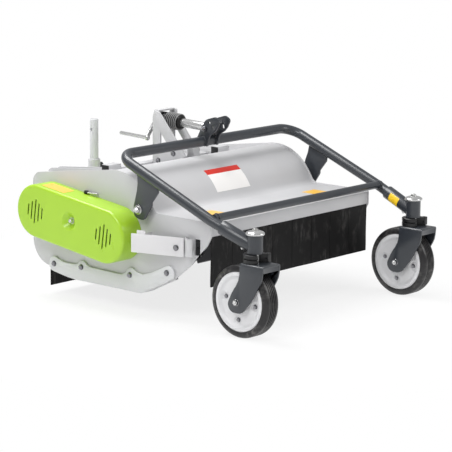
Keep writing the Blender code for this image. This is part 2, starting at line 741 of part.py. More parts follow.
# Belt: one ribbed loop round both pulleys, with tangent straight runs
gap_y, gap_z = SHAFT_Y - ROTOR_Y, SHAFT_Z - ROTOR_Z
span = math.hypot(gap_y, gap_z)
lean = math.degrees(math.atan2(gap_z, gap_y))
flare = math.degrees(math.asin((DRIVE_PULLEY - DRIVEN_PULLEY) / span))


def belt_loop(extra):
    """Loop at a distance outside both pulleys."""
    return (arc((SHAFT_Y, SHAFT_Z), DRIVE_PULLEY + extra, lean - 90 - flare,
                lean + 90 + flare, 14)
            + arc((ROTOR_Y, ROTOR_Z), DRIVEN_PULLEY + extra, lean + 90 + flare,
                  lean + 270 - flare, 12))


prism("drive_belt", belt_loop(RUN + BELT_THICK), PULLEY_X - BELT_WIDTH / 2,
      PULLEY_X + BELT_WIDTH / 2, "X", "rubber", holes=(belt_loop(RUN + 0.0005),))

# Rotor bearings: cast flanges outside the side plates
for side, sign in (("left", -1), ("right", 1)):
    face = HALF + GAP
    profile = [(STUB_SHAFT + RUN, face), (BEARING_RADIUS, face), (BEARING_RADIUS, face + 0.008),
               (0.034, face + 0.011), (0.031, face + BEARING_DEPTH),
               (STUB_SHAFT + RUN, face + BEARING_DEPTH)]
    spin_profile("rotor_bearing_" + side, [(r, sign * a) for r, a in profile],
                 (0, ROTOR_Y, ROTOR_Z), "X", "dark", steps=20)

# Gearbox: cast block with a flanged neck on the tractor side
half_d, half_h = GEARBOX_DEPTH / 2, GEARBOX_HEIGHT / 2
gearbox = prism("gearbox", rounded([
    (SHAFT_Y - half_d, SHAFT_Z - half_h, 0.014), (SHAFT_Y + half_d, SHAFT_Z - half_h, 0.020),
    (SHAFT_Y + half_d, SHAFT_Z + half_h, 0.030), (SHAFT_Y - half_d, SHAFT_Z + half_h, 0.030)],
    step=30), -GEARBOX_HALF, GEARBOX_HALF, "X", "body", bevel=0.006)
neck_end = SHAFT_Y + half_d + 0.022
neck = spin_profile("neck_shape", [
    (0, SHAFT_Y), (0.046, SHAFT_Y), (0.046, SHAFT_Y + half_d + 0.008),
    (0.040, SHAFT_Y + half_d + 0.012), (0.040, neck_end), (0, neck_end)],
    (0, 0, SHAFT_Z), "Y", "body", steps=20, cutter=True)
ring = spin_profile("collar_shape", [
    (0, -GEARBOX_HALF - 0.012), (0.044, -GEARBOX_HALF - 0.012), (0.048, -GEARBOX_HALF + 0.004),
    (0.048, -GEARBOX_HALF + 0.010), (0, -GEARBOX_HALF + 0.010)],
    (0, SHAFT_Y, SHAFT_Z), "X", "body", steps=20, cutter=True)
input_bore = spin_profile("input_bore", [
    (0, SHAFT_Y + 0.020), (SHAFT_RADIUS + 0.002, SHAFT_Y + 0.020),
    (SHAFT_RADIUS + 0.002, neck_end + 0.02), (0, neck_end + 0.02)],
    (0, 0, SHAFT_Z), "Y", "body", steps=20, cutter=True)
output_bore = spin_profile("output_bore", [
    (0, -GEARBOX_HALF - 0.03), (SHAFT_RADIUS + 0.001, -GEARBOX_HALF - 0.03),
    (SHAFT_RADIUS + 0.001, -GEARBOX_HALF + 0.018), (0, -GEARBOX_HALF + 0.018)],
    (0, SHAFT_Y, SHAFT_Z), "X", "body", steps=20, cutter=True)
weld(gearbox, neck, ring)
cut(gearbox, input_bore, output_bore)

# Input shaft with the six splines of a tractor's drive
input_axis = pivot("input_axis", (0, SHAFT_Y, SHAFT_Z), "machine")
spline = []
for k in range(6):
    for degrees, radius in ((-14, SHAFT_RADIUS), (0, SHAFT_RADIUS), (14, SHAFT_RADIUS),
                            (20, SHAFT_RADIUS - 0.003), (40, SHAFT_RADIUS - 0.003)):
        a = math.radians(60 * k + degrees)
        spline.append((radius * math.cos(a), SHAFT_Z + radius * math.sin(a)))
input_shaft = prism("input_shaft", spline, SHAFT_Y + 0.026, INPUT_END, "Y", "steel",
                    input_axis)
groove = spin_profile("input_groove", [
    (SHAFT_RADIUS - 0.0035, INPUT_END - 0.038), (SHAFT_RADIUS + 0.004, INPUT_END - 0.042),
    (SHAFT_RADIUS + 0.004, INPUT_END - 0.028), (SHAFT_RADIUS - 0.0035, INPUT_END - 0.032)],
    (0, 0, SHAFT_Z), "Y", "steel", input_axis, steps=24, cutter=True)
cut(input_shaft, groove)

# Shield round the input shaft, seated on the gearbox neck
spin_profile("input_shield", [
    (0.0403, neck_end - 0.010), (0.0445, neck_end - 0.010), (0.0445, neck_end),
    (0.062, neck_end + 0.012), (0.066, neck_end + 0.075), (0.063, neck_end + 0.075),
    (0.059, neck_end + 0.015), (0.0403, neck_end + 0.001)],
    (0, 0, SHAFT_Z), "Y", "black", steps=20)

# Shaft cover: an arch over the cross shaft, narrowing to a tube at the side plate
arch_left, arch_right = -HITCH_X + HITCH_GAP / 2 + HITCH_THICK + 0.004, -GEARBOX_HALF - 0.016
arch_top = rounded([(SHAFT_Y - 0.050, 0.352, 0), (SHAFT_Y - 0.050, 0.482, 0.048),
                    (SHAFT_Y + 0.050, 0.482, 0.048), (SHAFT_Y + 0.050, 0.352, 0)],
                   closed=False, step=15)
cover = prism("shaft_cover", arch_top + offset_line(arch_top, -0.003)[::-1],
              arch_left, arch_right, "X", "green")
end_wall = prism("cover_wall", arch_top, arch_left, arch_left + 0.003, "X", "green", cutter=True)
sleeve_shape = spin_profile("cover_sleeve", [
    (0.034, -INNER + GAP), (0.037, -INNER + GAP), (0.037, arch_left + 0.002),
    (0.034, arch_left + 0.002)], (0, SHAFT_Y, SHAFT_Z), "X", "green", steps=20, cutter=True)
shaft_way = spin_profile("cover_way", [
    (0, arch_left - 0.02), (0.034, arch_left - 0.02), (0.034, arch_left + 0.02),
    (0, arch_left + 0.02)], (0, SHAFT_Y, SHAFT_Z), "X", "green", steps=20, cutter=True)
weld(cover, end_wall, sleeve_shape)
cut(cover, shaft_way)

# Belt guard: a moulded shell with vents, and a cone-shaped recess for its nut
lean_guard = math.degrees(math.atan2(GUARD_REAR[1] - GUARD_FRONT[1],
                                     GUARD_REAR[0] - GUARD_FRONT[0]))
guard_mid = ((GUARD_FRONT[0] + GUARD_REAR[0]) / 2, (GUARD_FRONT[1] + GUARD_REAR[1]) / 2 + 0.010)
slots = []
across = Vector((math.cos(math.radians(lean_guard)), math.sin(math.radians(lean_guard))))
upward = Vector((-across.y, across.x))
for centre in (GUARD_FRONT, GUARD_REAR):
    for k, length in enumerate(SLOT_LENGTHS):
        middle = Vector(centre) + across * (k - (len(SLOT_LENGTHS) - 1) / 2) * SLOT_PITCH
        corners = [(-1, -1), (1, -1), (1, 1), (-1, 1)]
        slots.append([tuple(middle + across * (SLOT_WIDTH / 2 * a) + upward * (length / 2 * b))
                      for a, b in corners])


def guard_shell(name):
    """Shell of the belt guard as one closed skin, vents and recess included."""
    bm = bmesh.new()
    back = -(HALF + GAP)

    def loop(points, x):
        return [bm.verts.new((x, u, v)) for u, v in points]

    def bridge(one, two):
        for i in range(len(one)):
            bm.faces.new((one[i - 1], one[i], two[i], two[i - 1]))

    def layer(shrink, deepen):
        """Rim rings from the back edge to the face, then the face's edge loop."""
        rings = []
        face = GUARD_FACE + deepen
        for inset, x in ((0.0, back), (0.0, face + GUARD_EDGE),
                         (GUARD_EDGE * 0.13, face + GUARD_EDGE * 0.5),
                         (GUARD_EDGE * 0.5, face + GUARD_EDGE * 0.13), (GUARD_EDGE, face)):
            rings.append(loop(stadium(GUARD_FRONT, GUARD_REAR, GUARD_RADIUS - shrink - inset,
                                      12), x))
        for one, two in zip(rings, rings[1:]):
            bridge(one, two)
        return rings

    outer = layer(0.0, 0.0)
    inner = layer(GUARD_WALL, GUARD_WALL)
    bridge(outer[0], inner[0])
    for x, rings, extra in ((GUARD_FACE, outer, 0.0), (GUARD_FACE + GUARD_WALL, inner, 1.0)):
        cone_top = loop(circle(guard_mid, RECESS_RADIUS + extra * 0.0015, 20), x)
        cone_low = loop(circle(guard_mid, RECESS_BASE + extra * 0.0015, 20), x + RECESS_DEPTH)
        bridge(cone_top, cone_low)
        if extra:
            bore_in = loop(circle(guard_mid, 0.0058, 20), x + RECESS_DEPTH)
            bridge(cone_low, bore_in)
            bridge(bore_in, bore_out)
            slot_in = [loop(s, x) for s in slots]
            for one, two in zip(slot_out, slot_in):
                bridge(one, two)
            edge_loops = [rings[-1], cone_top] + slot_in
        else:
            bore_out = loop(circle(guard_mid, 0.0058, 20), x + RECESS_DEPTH)
            bridge(cone_low, bore_out)
            slot_out = [loop(s, x) for s in slots]
            edge_loops = [rings[-1], cone_top] + slot_out
        edges = []
        for ring_loop in edge_loops:
            for i in range(len(ring_loop)):
                edge = bm.edges.get((ring_loop[i - 1], ring_loop[i]))
                edges.append(edge or bm.edges.new((ring_loop[i - 1], ring_loop[i])))
        bmesh.ops.triangle_fill(bm, use_beauty=True, use_dissolve=False, edges=edges)
    return finish_mesh(name, bm, "green")


guard_shell("belt_guard")

# Stud and dome nut that hold the guard
nut_seat = GUARD_FACE + RECESS_DEPTH
spin_profile("guard_nut", [
    (0, nut_seat - 0.017), (0.006, nut_seat - 0.016), (0.009, nut_seat - 0.011),
    (0.010, nut_seat - GAP - 0.002), (0.012, nut_seat - GAP - 0.002), (0.012, nut_seat - GAP),
    (0.005, nut_seat - GAP), (0.005, -HALF - GAP), (0, -HALF - GAP)],
    (0, *guard_mid), "X", "zinc", steps=12)

# Deflector bar in front of the guard: it stands off the plate toward the guard
bar_left, bar_right = (-0.556, 0.550), (-0.490, 0.342)
direction = (Vector(bar_right) - Vector(bar_left)).normalized()
normal = Vector((-direction.y, direction.x)) * (1 if direction.x > 0 else -1)
bar_outline = [bar_left, bar_right,
               tuple(Vector(bar_right) + normal * BUMPER_THICK),
               tuple(Vector(bar_left) + normal * BUMPER_THICK)]
bumper = prism("guard_bumper", bar_outline, BUMPER_Z - BUMPER_HEIGHT / 2,
               BUMPER_Z + BUMPER_HEIGHT / 2, "Z", "bare")


def behind_bumper(y, depth):
    """A point at a depth behind the bar's inner face."""
    along = (y - bar_left[1]) / direction.y
    return tuple(Vector(bar_left) + direction * along + normal * (BUMPER_THICK + depth))


rest_low, rest_high = BUMPER_Z - BUMPER_HEIGHT / 2 + 0.006, BUMPER_Z + BUMPER_HEIGHT / 2 + 0.014
rest = prism("bumper_rest", [
    behind_bumper(0.545, -0.001), behind_bumper(0.498, -0.001), (-HALF - GAP - 0.001, 0.498),
    (-HALF - GAP - 0.001, 0.503), behind_bumper(0.504, 0.005), behind_bumper(0.545, 0.005)],
    rest_low, rest_high, "Z", "bare", cutter=True)
rest_foot = prism("bumper_foot", rectangle(-HALF - GAP - 0.005, -HALF - GAP, 0.466, 0.5025),
                  rest_low + 0.001, rest_high - 0.001, "Z", "bare", cutter=True)
spacer_end = behind_bumper(BUMPER_BOLT_Y, -0.002)[0]
spacer = spin_profile("bumper_spacer", [(0, spacer_end), (0.011, spacer_end),
                                        (0.011, -HALF - GAP), (0, -HALF - GAP)],
                      (0, BUMPER_BOLT_Y, BUMPER_Z - 0.003), "X", "bare", steps=12,
                      cutter=True)
weld(bumper, rest, rest_foot, spacer)

# Hitch: a cross beam on the hood's rear slope, two clevises, and the headstock
beam_bottom = skin_line(BEAM_Y - BEAM_DEPTH / 2) + GAP + 0.0005
beam_mid = beam_bottom + BEAM_HEIGHT / 2
square_tube("hitch_beam", (BEAM_Y, beam_mid), BEAM_DEPTH, BEAM_HEIGHT, BEAM_WALL,
            -BEAM_HALF, BEAM_HALF, "X", "body")

stub_bottom = skin_line(STUB_Y - STUB_SIZE / 2) + GAP + 0.0005
stub_mid = stub_bottom + STUB_SIZE / 2
arm_outline = rounded([
    (STUB_Y - 0.014, skin_line(STUB_Y - 0.014) + 0.0006, 0),
    (0.962, skin_line(0.962) + 0.0006, 0),
    (1.010, HITCH_PIN_Z - 0.024, 0),
    (HITCH_PIN_Y + 0.024, HITCH_PIN_Z - 0.024, 0.022),
    (HITCH_PIN_Y + 0.024, HITCH_PIN_Z + 0.022, 0.022),
    (0.930, stub_mid - 0.002, 0.020),
    (STUB_Y - 0.014, stub_mid + 0.006, 0)], step=30)
for side, sign in (("left", -1), ("right", 1)):
    middle = sign * HITCH_X
    inner = middle - HITCH_GAP / 2 - HITCH_THICK
    outer = middle + HITCH_GAP / 2
    clevis = prism("hitch_" + side, arm_outline, inner, inner + HITCH_THICK, "X", "body")
    second = prism("hitch_second_" + side, arm_outline, outer, outer + HITCH_THICK, "X",
                   "body", cutter=True)
    stub = prism("hitch_stub_" + side,
                 rectangle(STUB_Y - STUB_SIZE / 2, STUB_Y + STUB_SIZE / 2, stub_bottom,
                           stub_bottom + STUB_SIZE),
                 middle - STUB_LENGTH / 2, middle + STUB_LENGTH / 2, "X", "body", cutter=True)
    pin = spin_profile("hitch_pin_" + side, [
        (0, middle - 0.052), (HITCH_PIN - 0.002, middle - 0.052), (HITCH_PIN, middle - 0.050),
        (HITCH_PIN, middle + 0.034), (0.016, middle + 0.034), (0.016, middle + 0.042),
        (0, middle + 0.042)], (0, HITCH_PIN_Y, HITCH_PIN_Z), "X", "body", steps=12, cutter=True)
    weld(clevis, second, stub, pin)

gusset_low = [(0.772, skin_line(0.772) + 0.0006), (BEAM_Y - BEAM_DEPTH / 2 - GAP,
                                                   skin_line(BEAM_Y - BEAM_DEPTH / 2) + 0.0006)]
head_low = [(0.745, skin_line(0.745) + 0.0008), (HEAD_REAR, skin_line(HEAD_REAR) + 0.0008)]
window = [(0.872, 0.634), (0.872, 0.571), (0.822, 0.571)]
head_outline = rounded([
    (HEAD_REAR, head_low[1][1], 0),
    (HEAD_REAR, 0.690, 0.010),
    (HEAD_REAR - 0.009, HEAD_TOP, 0.004),
    (0.880, HEAD_TOP - 0.005, 0.004),
    (0.752, 0.571, 0.060),
    (0.733, 0.541, 0.006),
    head_low[0] + (0,)], step=20)
head_left = prism("headstock_plate", head_outline, -HEAD_HALF - HEAD_THICK / 2,
                  -HEAD_HALF + HEAD_THICK / 2, "X", "body", holes=(window,))
pocket = spin_profile("trunnion_pocket_left", [
    (0, -HEAD_HALF - 0.0005), (TRUNNION_PIN + RUN, -HEAD_HALF - 0.0005),
    (TRUNNION_PIN + RUN, 0), (0, 0)], (0, *LINK_REAR), "X", "body", steps=16, cutter=True)
cut(head_left, pocket)
upright_low = skin_line(HEAD_REAR - 0.024) + 0.0008
upright = prism("headstock_upright", rounded([
    (HEAD_REAR, skin_line(HEAD_REAR) + 0.0008, 0),
    (HEAD_REAR, HEAD_TOP, 0.006),
    (0.878, HEAD_TOP, 0.008),
    (0.876, 0.652, 0.006),
    (0.889, 0.632, 0.010),
    (0.889, skin_line(0.889) + 0.0008, 0)], step=30),
    HEAD_HALF - HEAD_THICK / 2, HEAD_HALF + HEAD_THICK / 2, "X", "body")
bridge_plate = prism("bridge_shape", rectangle(HEAD_REAR - 0.026, HEAD_REAR - 0.004,
                                               HEAD_TOP - 0.005, HEAD_TOP + 0.001),
                     -HEAD_HALF + HEAD_THICK / 2 + GAP, HEAD_HALF, "X", "body", cutter=True)
pocket_right = spin_profile("trunnion_pocket_right", [
    (0, 0), (TRUNNION_PIN + RUN, 0), (TRUNNION_PIN + RUN, HEAD_HALF + 0.0005),
    (0, HEAD_HALF + 0.0005)], (0, *LINK_REAR), "X", "body", steps=16, cutter=True)
weld(upright, bridge_plate)
cut(upright, pocket_right)

# Round brace from the upright's top down to a foot on the hood
brace_top = Vector((BRACE_X, 0.905, 0.672))
brace_foot = Vector((BRACE_X, 0.806, 0.553))
brace = sweep_tube("brace_tube", [brace_top, brace_foot], BRACE_RADIUS, "body", steps=16,
                   cutter=True)
eye = spin_profile("brace_eye", [
    (0, BRACE_X - 0.020), (0.016, BRACE_X - 0.020), (0.016, BRACE_X + 0.022),
    (0, BRACE_X + 0.022)], (0, brace_foot.y, brace_foot.z), "X", "body", steps=16, cutter=True)
web_low = skin_line(brace_foot.y - 0.022) + 0.0008
foot_web = prism("brace_web", [(brace_foot.y - 0.022, web_low),
                               (brace_foot.y + 0.026, skin_line(brace_foot.y + 0.026) + 0.0008),
                               (brace_foot.y + 0.014, brace_foot.z),
                               (brace_foot.y - 0.014, brace_foot.z)],
                 BRACE_X - 0.016, BRACE_X + 0.018, "X", "body", cutter=True)
head_boss = spin_profile("brace_boss", [
    (0, HEAD_HALF), (0.014, HEAD_HALF), (0.014, BRACE_X), (0, BRACE_X)],
    (0, 0.899, 0.668), "X", "body", steps=16, cutter=True)
weld(upright, head_boss, brace, eye, foot_web)

# Parking stand: its sleeve hangs on a bar between the clevises
bar_z = 0.4375
stand_bar_y = 1.150
sleeve = spin_profile("stand_sleeve", [
    (STAND_RADIUS + RUN, SLEEVE_BOTTOM), (SLEEVE_RADIUS, SLEEVE_BOTTOM),
    (SLEEVE_RADIUS, SLEEVE_TOP), (STAND_RADIUS + RUN, SLEEVE_TOP)],
    (STAND_X, STAND_Y, 0), "Z", "body", steps=20)
carrier_end = HITCH_X - HITCH_GAP / 2 - HITCH_THICK - GAP
carrier = prism("stand_carrier", rectangle(stand_bar_y - 0.014, stand_bar_y + 0.014,
                                           bar_z - 0.0125, bar_z + 0.0125),
                -carrier_end, carrier_end, "X", "body", cutter=True)
carrier_web = prism("stand_web", rectangle(STAND_X - 0.020, STAND_X + 0.020,
                                           stand_bar_y, STAND_Y - STAND_RADIUS - 0.003),
                    bar_z - 0.0125, bar_z + 0.0125, "Z", "body", cutter=True)
pin_way = spin_profile("pin_way", [
    (0, STAND_X), (STAND_PIN + RUN, STAND_X), (STAND_PIN + RUN, STAND_X + 0.05),
    (0, STAND_X + 0.05)], (0, STAND_Y, STAND_PIN_Z), "X", "body", steps=14, cutter=True)
weld(sleeve, carrier, carrier_web)
cut(sleeve, pin_way)

stand_foot = STAND_TOP - STAND_LENGTH
inside = STAND_RADIUS - STAND_WALL
leg = spin_profile("stand_leg", [
    (0, stand_foot), (0.030, stand_foot), (0.030, stand_foot + 0.006),
    (STAND_RADIUS, stand_foot + 0.008), (STAND_RADIUS, STAND_TOP - 0.0015),
    (STAND_RADIUS - 0.0015, STAND_TOP), (inside, STAND_TOP), (inside, stand_foot + 0.010),
    (0, stand_foot + 0.010)], (STAND_X, STAND_Y, 0), "Z", "skid", stand_axis, steps=18)
leg_holes = []
for k, z in enumerate((STAND_PIN_Z, STAND_PIN_Z + STAND_TRAVEL)):
    leg_holes.append(spin_profile(f"leg_hole_{k}", [
        (0, STAND_X - 0.04), (STAND_PIN + RUN, STAND_X - 0.04),
        (STAND_PIN + RUN, STAND_X + 0.04), (0, STAND_X + 0.04)],
        (0, STAND_Y, z), "X", "skid", stand_axis, steps=10, cutter=True))
cut(leg, *leg_holes)

# Locking screw in the sleeve's right side, with a knurled head
lock_start = STAND_X + STAND_RADIUS + RUN + GAP
lock_head = STAND_X + SLEEVE_RADIUS + 0.004
spin_profile("stand_lock", [
    (0, lock_start), (STAND_PIN - 0.001, lock_start), (STAND_PIN, lock_start + 0.001),
    (STAND_PIN, lock_head), (0.011, lock_head), (0.012, lock_head + 0.001),
    (0.012, lock_head + 0.013), (0.010, lock_head + 0.015), (0, lock_head + 0.015)],
    (0, STAND_Y, STAND_PIN_Z), "X", "dark",
    pivot("stand_lock_axis", (STAND_X, STAND_Y, STAND_PIN_Z), "machine"), steps=14)

# Wheel frame: one tube bent to a U, its arms turned in to the castor sockets


def arm_height(y):
    return FRAME_BAR_Z - FRAME_SLOPE * (FRAME_BAR_Y - y)


barrel_mid = BARREL_BOTTOM + BARREL_HEIGHT / 2
knee = Vector((FRAME_HALF, FRAME_KNEE_Y, arm_height(FRAME_KNEE_Y)))
swivel = Vector((CASTOR_X, 0.0, barrel_mid - 0.010))
run_in = (swivel - knee).normalized()
socket_start = swivel - run_in * (SOCKET_LENGTH + BARREL_RADIUS)
tube_end = socket_start + run_in * SOCKET_DEPTH


def flip(point, sign):
    return Vector((point.x * sign, point.y, point.z))


corner = Vector((FRAME_HALF, FRAME_BAR_Y, FRAME_BAR_Z))
frame_path = bend_path(
    [flip(tube_end, -1), flip(knee, -1), flip(corner, -1), corner, knee, tube_end],
    [0.150, FRAME_BEND, FRAME_BEND, 0.150], step=18)
sweep_tube("frame_tube", frame_path, FRAME_TUBE, "frame", frame_pivot,
           bore=FRAME_TUBE - FRAME_WALL, steps=12)
bar_way = sweep_tube("bar_way", frame_path, FRAME_TUBE + GAP, "frame", frame_pivot,
                     steps=12, cutter=True)
cross_bar = sweep_tube("cross_bar", [(-FRAME_HALF, CROSS_BAR_Y, CROSS_BAR_Z),
                                     (FRAME_HALF, CROSS_BAR_Y, CROSS_BAR_Z)],
                       CROSS_BAR, "frame", frame_pivot, steps=16)
cross_ends = prism("cross_ends", rectangle(CROSS_BAR_Y - 0.03, CROSS_BAR_Y + 0.03,
                                           CROSS_BAR_Z - 0.03, CROSS_BAR_Z + 0.03),
                   FRAME_HALF - 0.006, FRAME_HALF + 0.05, "X", "frame", frame_pivot, cutter=True)
cross_ends_left = prism("cross_ends_left", rectangle(CROSS_BAR_Y - 0.03, CROSS_BAR_Y + 0.03,
                                                     CROSS_BAR_Z - 0.03, CROSS_BAR_Z + 0.03),
                        -FRAME_HALF - 0.05, -FRAME_HALF + 0.006, "X", "frame", frame_pivot,
                        cutter=True)
cut(cross_bar, bar_way, cross_ends, cross_ends_left)

# Pivot brackets: bent plates from the arms down to the pins on the side plates
bracket_outline = rounded([
    (0.556, arm_height(0.556) - 0.010, 0),
    (0.460, arm_height(0.460) - 0.010, 0),
    (0.458, 0.494, 0.008),
    (0.492, 0.452, 0.010),
    (0.492, 0.440, 0.010),
    (0.533, 0.378, 0.020),
    (PIVOT_Y + 0.024, 0.386, 0.024),
    (PIVOT_Y + 0.024, 0.430, 0.010),
    (0.560, 0.520, 0.012)], step=20)
for side, sign in (("left", -1), ("right", 1)):
    low_x = sign * (BRACKET_X - BRACKET_THICK / 2)
    high_x = sign * (BRACKET_X + BRACKET_THICK / 2)
    crease = 0.490
    section = [(low_x, 0.35), (high_x, 0.35), (high_x, crease),
               (high_x + sign * 0.012, 0.56), (low_x + sign * 0.012, 0.56), (low_x, crease)]
    bracket = prism("pivot_bracket_" + side, section, 0.440, 0.600, "Y", "frame", frame_pivot)
    shape = prism("bracket_shape_" + side, bracket_outline, *sorted((sign * 0.48, sign * 0.54)),
                  "X", "frame", frame_pivot, cutter=True)
    hole = spin_profile("bracket_hole_" + side, [
        (0, sign * 0.47), (PIVOT_PIN + RUN, sign * 0.47), (PIVOT_PIN + RUN, sign * 0.54),
        (0, sign * 0.54)], (0, PIVOT_Y, PIVOT_Z), "X", "frame", frame_pivot, steps=20,
        cutter=True)
    combine(bracket, shape, "INTERSECT")
    cut(bracket, hole, bar_way)
    face = HALF + GAP
    inside, outside = BRACKET_X - BRACKET_THICK / 2, BRACKET_X + BRACKET_THICK / 2
    profile = [(0, face), (PIVOT_BOSS, face), (PIVOT_BOSS, inside - RUN), (PIVOT_PIN, inside - RUN),
               (PIVOT_PIN, outside + RUN), (0.019, outside + RUN), (0.019, outside + 0.003),
               (0.014, outside + 0.003), (0.013, outside + 0.012), (0, outside + 0.012)]
    spin_profile("pivot_pin_" + side, [(r, sign * a) for r, a in profile],
                 (0, PIVOT_Y, PIVOT_Z), "X", "zinc", steps=14)

# Link lugs: horn-shaped plates on the top bar, with spare holes
lug_outline = rounded([
    (0.693, 0.622, 0.004),
    (0.666, 0.672, 0.050),
    (0.645, 0.703, 0.030),
    (0.596, 0.718, 0.016),
    (0.569, 0.704, 0.012),
    (0.590, 0.662, 0.040),
    (0.626, 0.640, 0.030),
    (0.637, 0.596, 0.004),
    (0.662, 0.600, 0)], step=22)
slot = rounded([(0.598, 0.665, 0.005), (0.610, 0.663, 0.005), (0.614, 0.682, 0.005),
                (0.602, 0.684, 0.005)], step=60)
for side, sign in (("left", -1), ("right", 1)):
    low, high = sorted((sign * (LINK_LUG_X - LINK_LUG_THICK / 2),
                        sign * (LINK_LUG_X + LINK_LUG_THICK / 2)))
    holes = [circle((0.626, 0.692), 0.006, 10), slot]
    if side == "right":
        holes.append(circle(LINK_FRONT, LINK_PIN + GAP, 14))
    lug = prism("link_lug_" + side, lug_outline, low, high, "X", "frame", frame_pivot,
                holes=holes)
    cut(lug, bar_way)
    if side == "left":
        lug_end = LINK_LUG_X + LINK_LUG_THICK / 2
        link_pin = spin_profile("link_pin_shape", [
            (0, -lug_end - 0.008), (0.011, -lug_end - 0.008), (0.012, -lug_end - 0.001),
            (0.012, -lug_end + 0.001), (LINK_PIN, -lug_end + 0.002),
            (LINK_PIN, lug_end + 0.010), (0, lug_end + 0.010)],
            (0, *LINK_FRONT), "X", "frame", frame_pivot, steps=14, cutter=True)
        weld(lug, link_pin)

# Castor feet: barrel and socket in one welding
for side, sign in (("left", -1), ("right", 1)):
    axis_x = sign * CASTOR_X
    foot = spin_profile("frame_foot_" + side, [
        (0, BARREL_BOTTOM), (BARREL_RADIUS, BARREL_BOTTOM),
        (BARREL_RADIUS, BARREL_BOTTOM + BARREL_HEIGHT), (0, BARREL_BOTTOM + BARREL_HEIGHT)],
        (axis_x, 0, 0), "Z", "frame", frame_pivot, steps=20)
    socket = sweep_tube("socket_shape_" + side,
                        [flip(socket_start, sign), flip(swivel, sign)], SOCKET_RADIUS,
                        "frame", frame_pivot, steps=16, cutter=True)
    socket_bore = sweep_tube("socket_bore_" + side,
                             [flip(socket_start - run_in * 0.02, sign),
                              flip(tube_end + run_in * 0.004, sign)],
                             (FRAME_TUBE + RUN) / math.cos(math.pi / 16), "frame",
                             frame_pivot, steps=16, cutter=True)
    barrel_bore = spin_profile("barrel_bore_" + side, [
        (0, BARREL_BOTTOM - 0.02), (SPINDLE_RADIUS + RUN, BARREL_BOTTOM - 0.02),
        (SPINDLE_RADIUS + RUN, BARREL_BOTTOM + BARREL_HEIGHT + 0.02),
        (0, BARREL_BOTTOM + BARREL_HEIGHT + 0.02)], (axis_x, 0, 0), "Z", "frame", frame_pivot,
        steps=20, cutter=True)
    weld(foot, socket)
    cut(foot, socket_bore, barrel_bore)

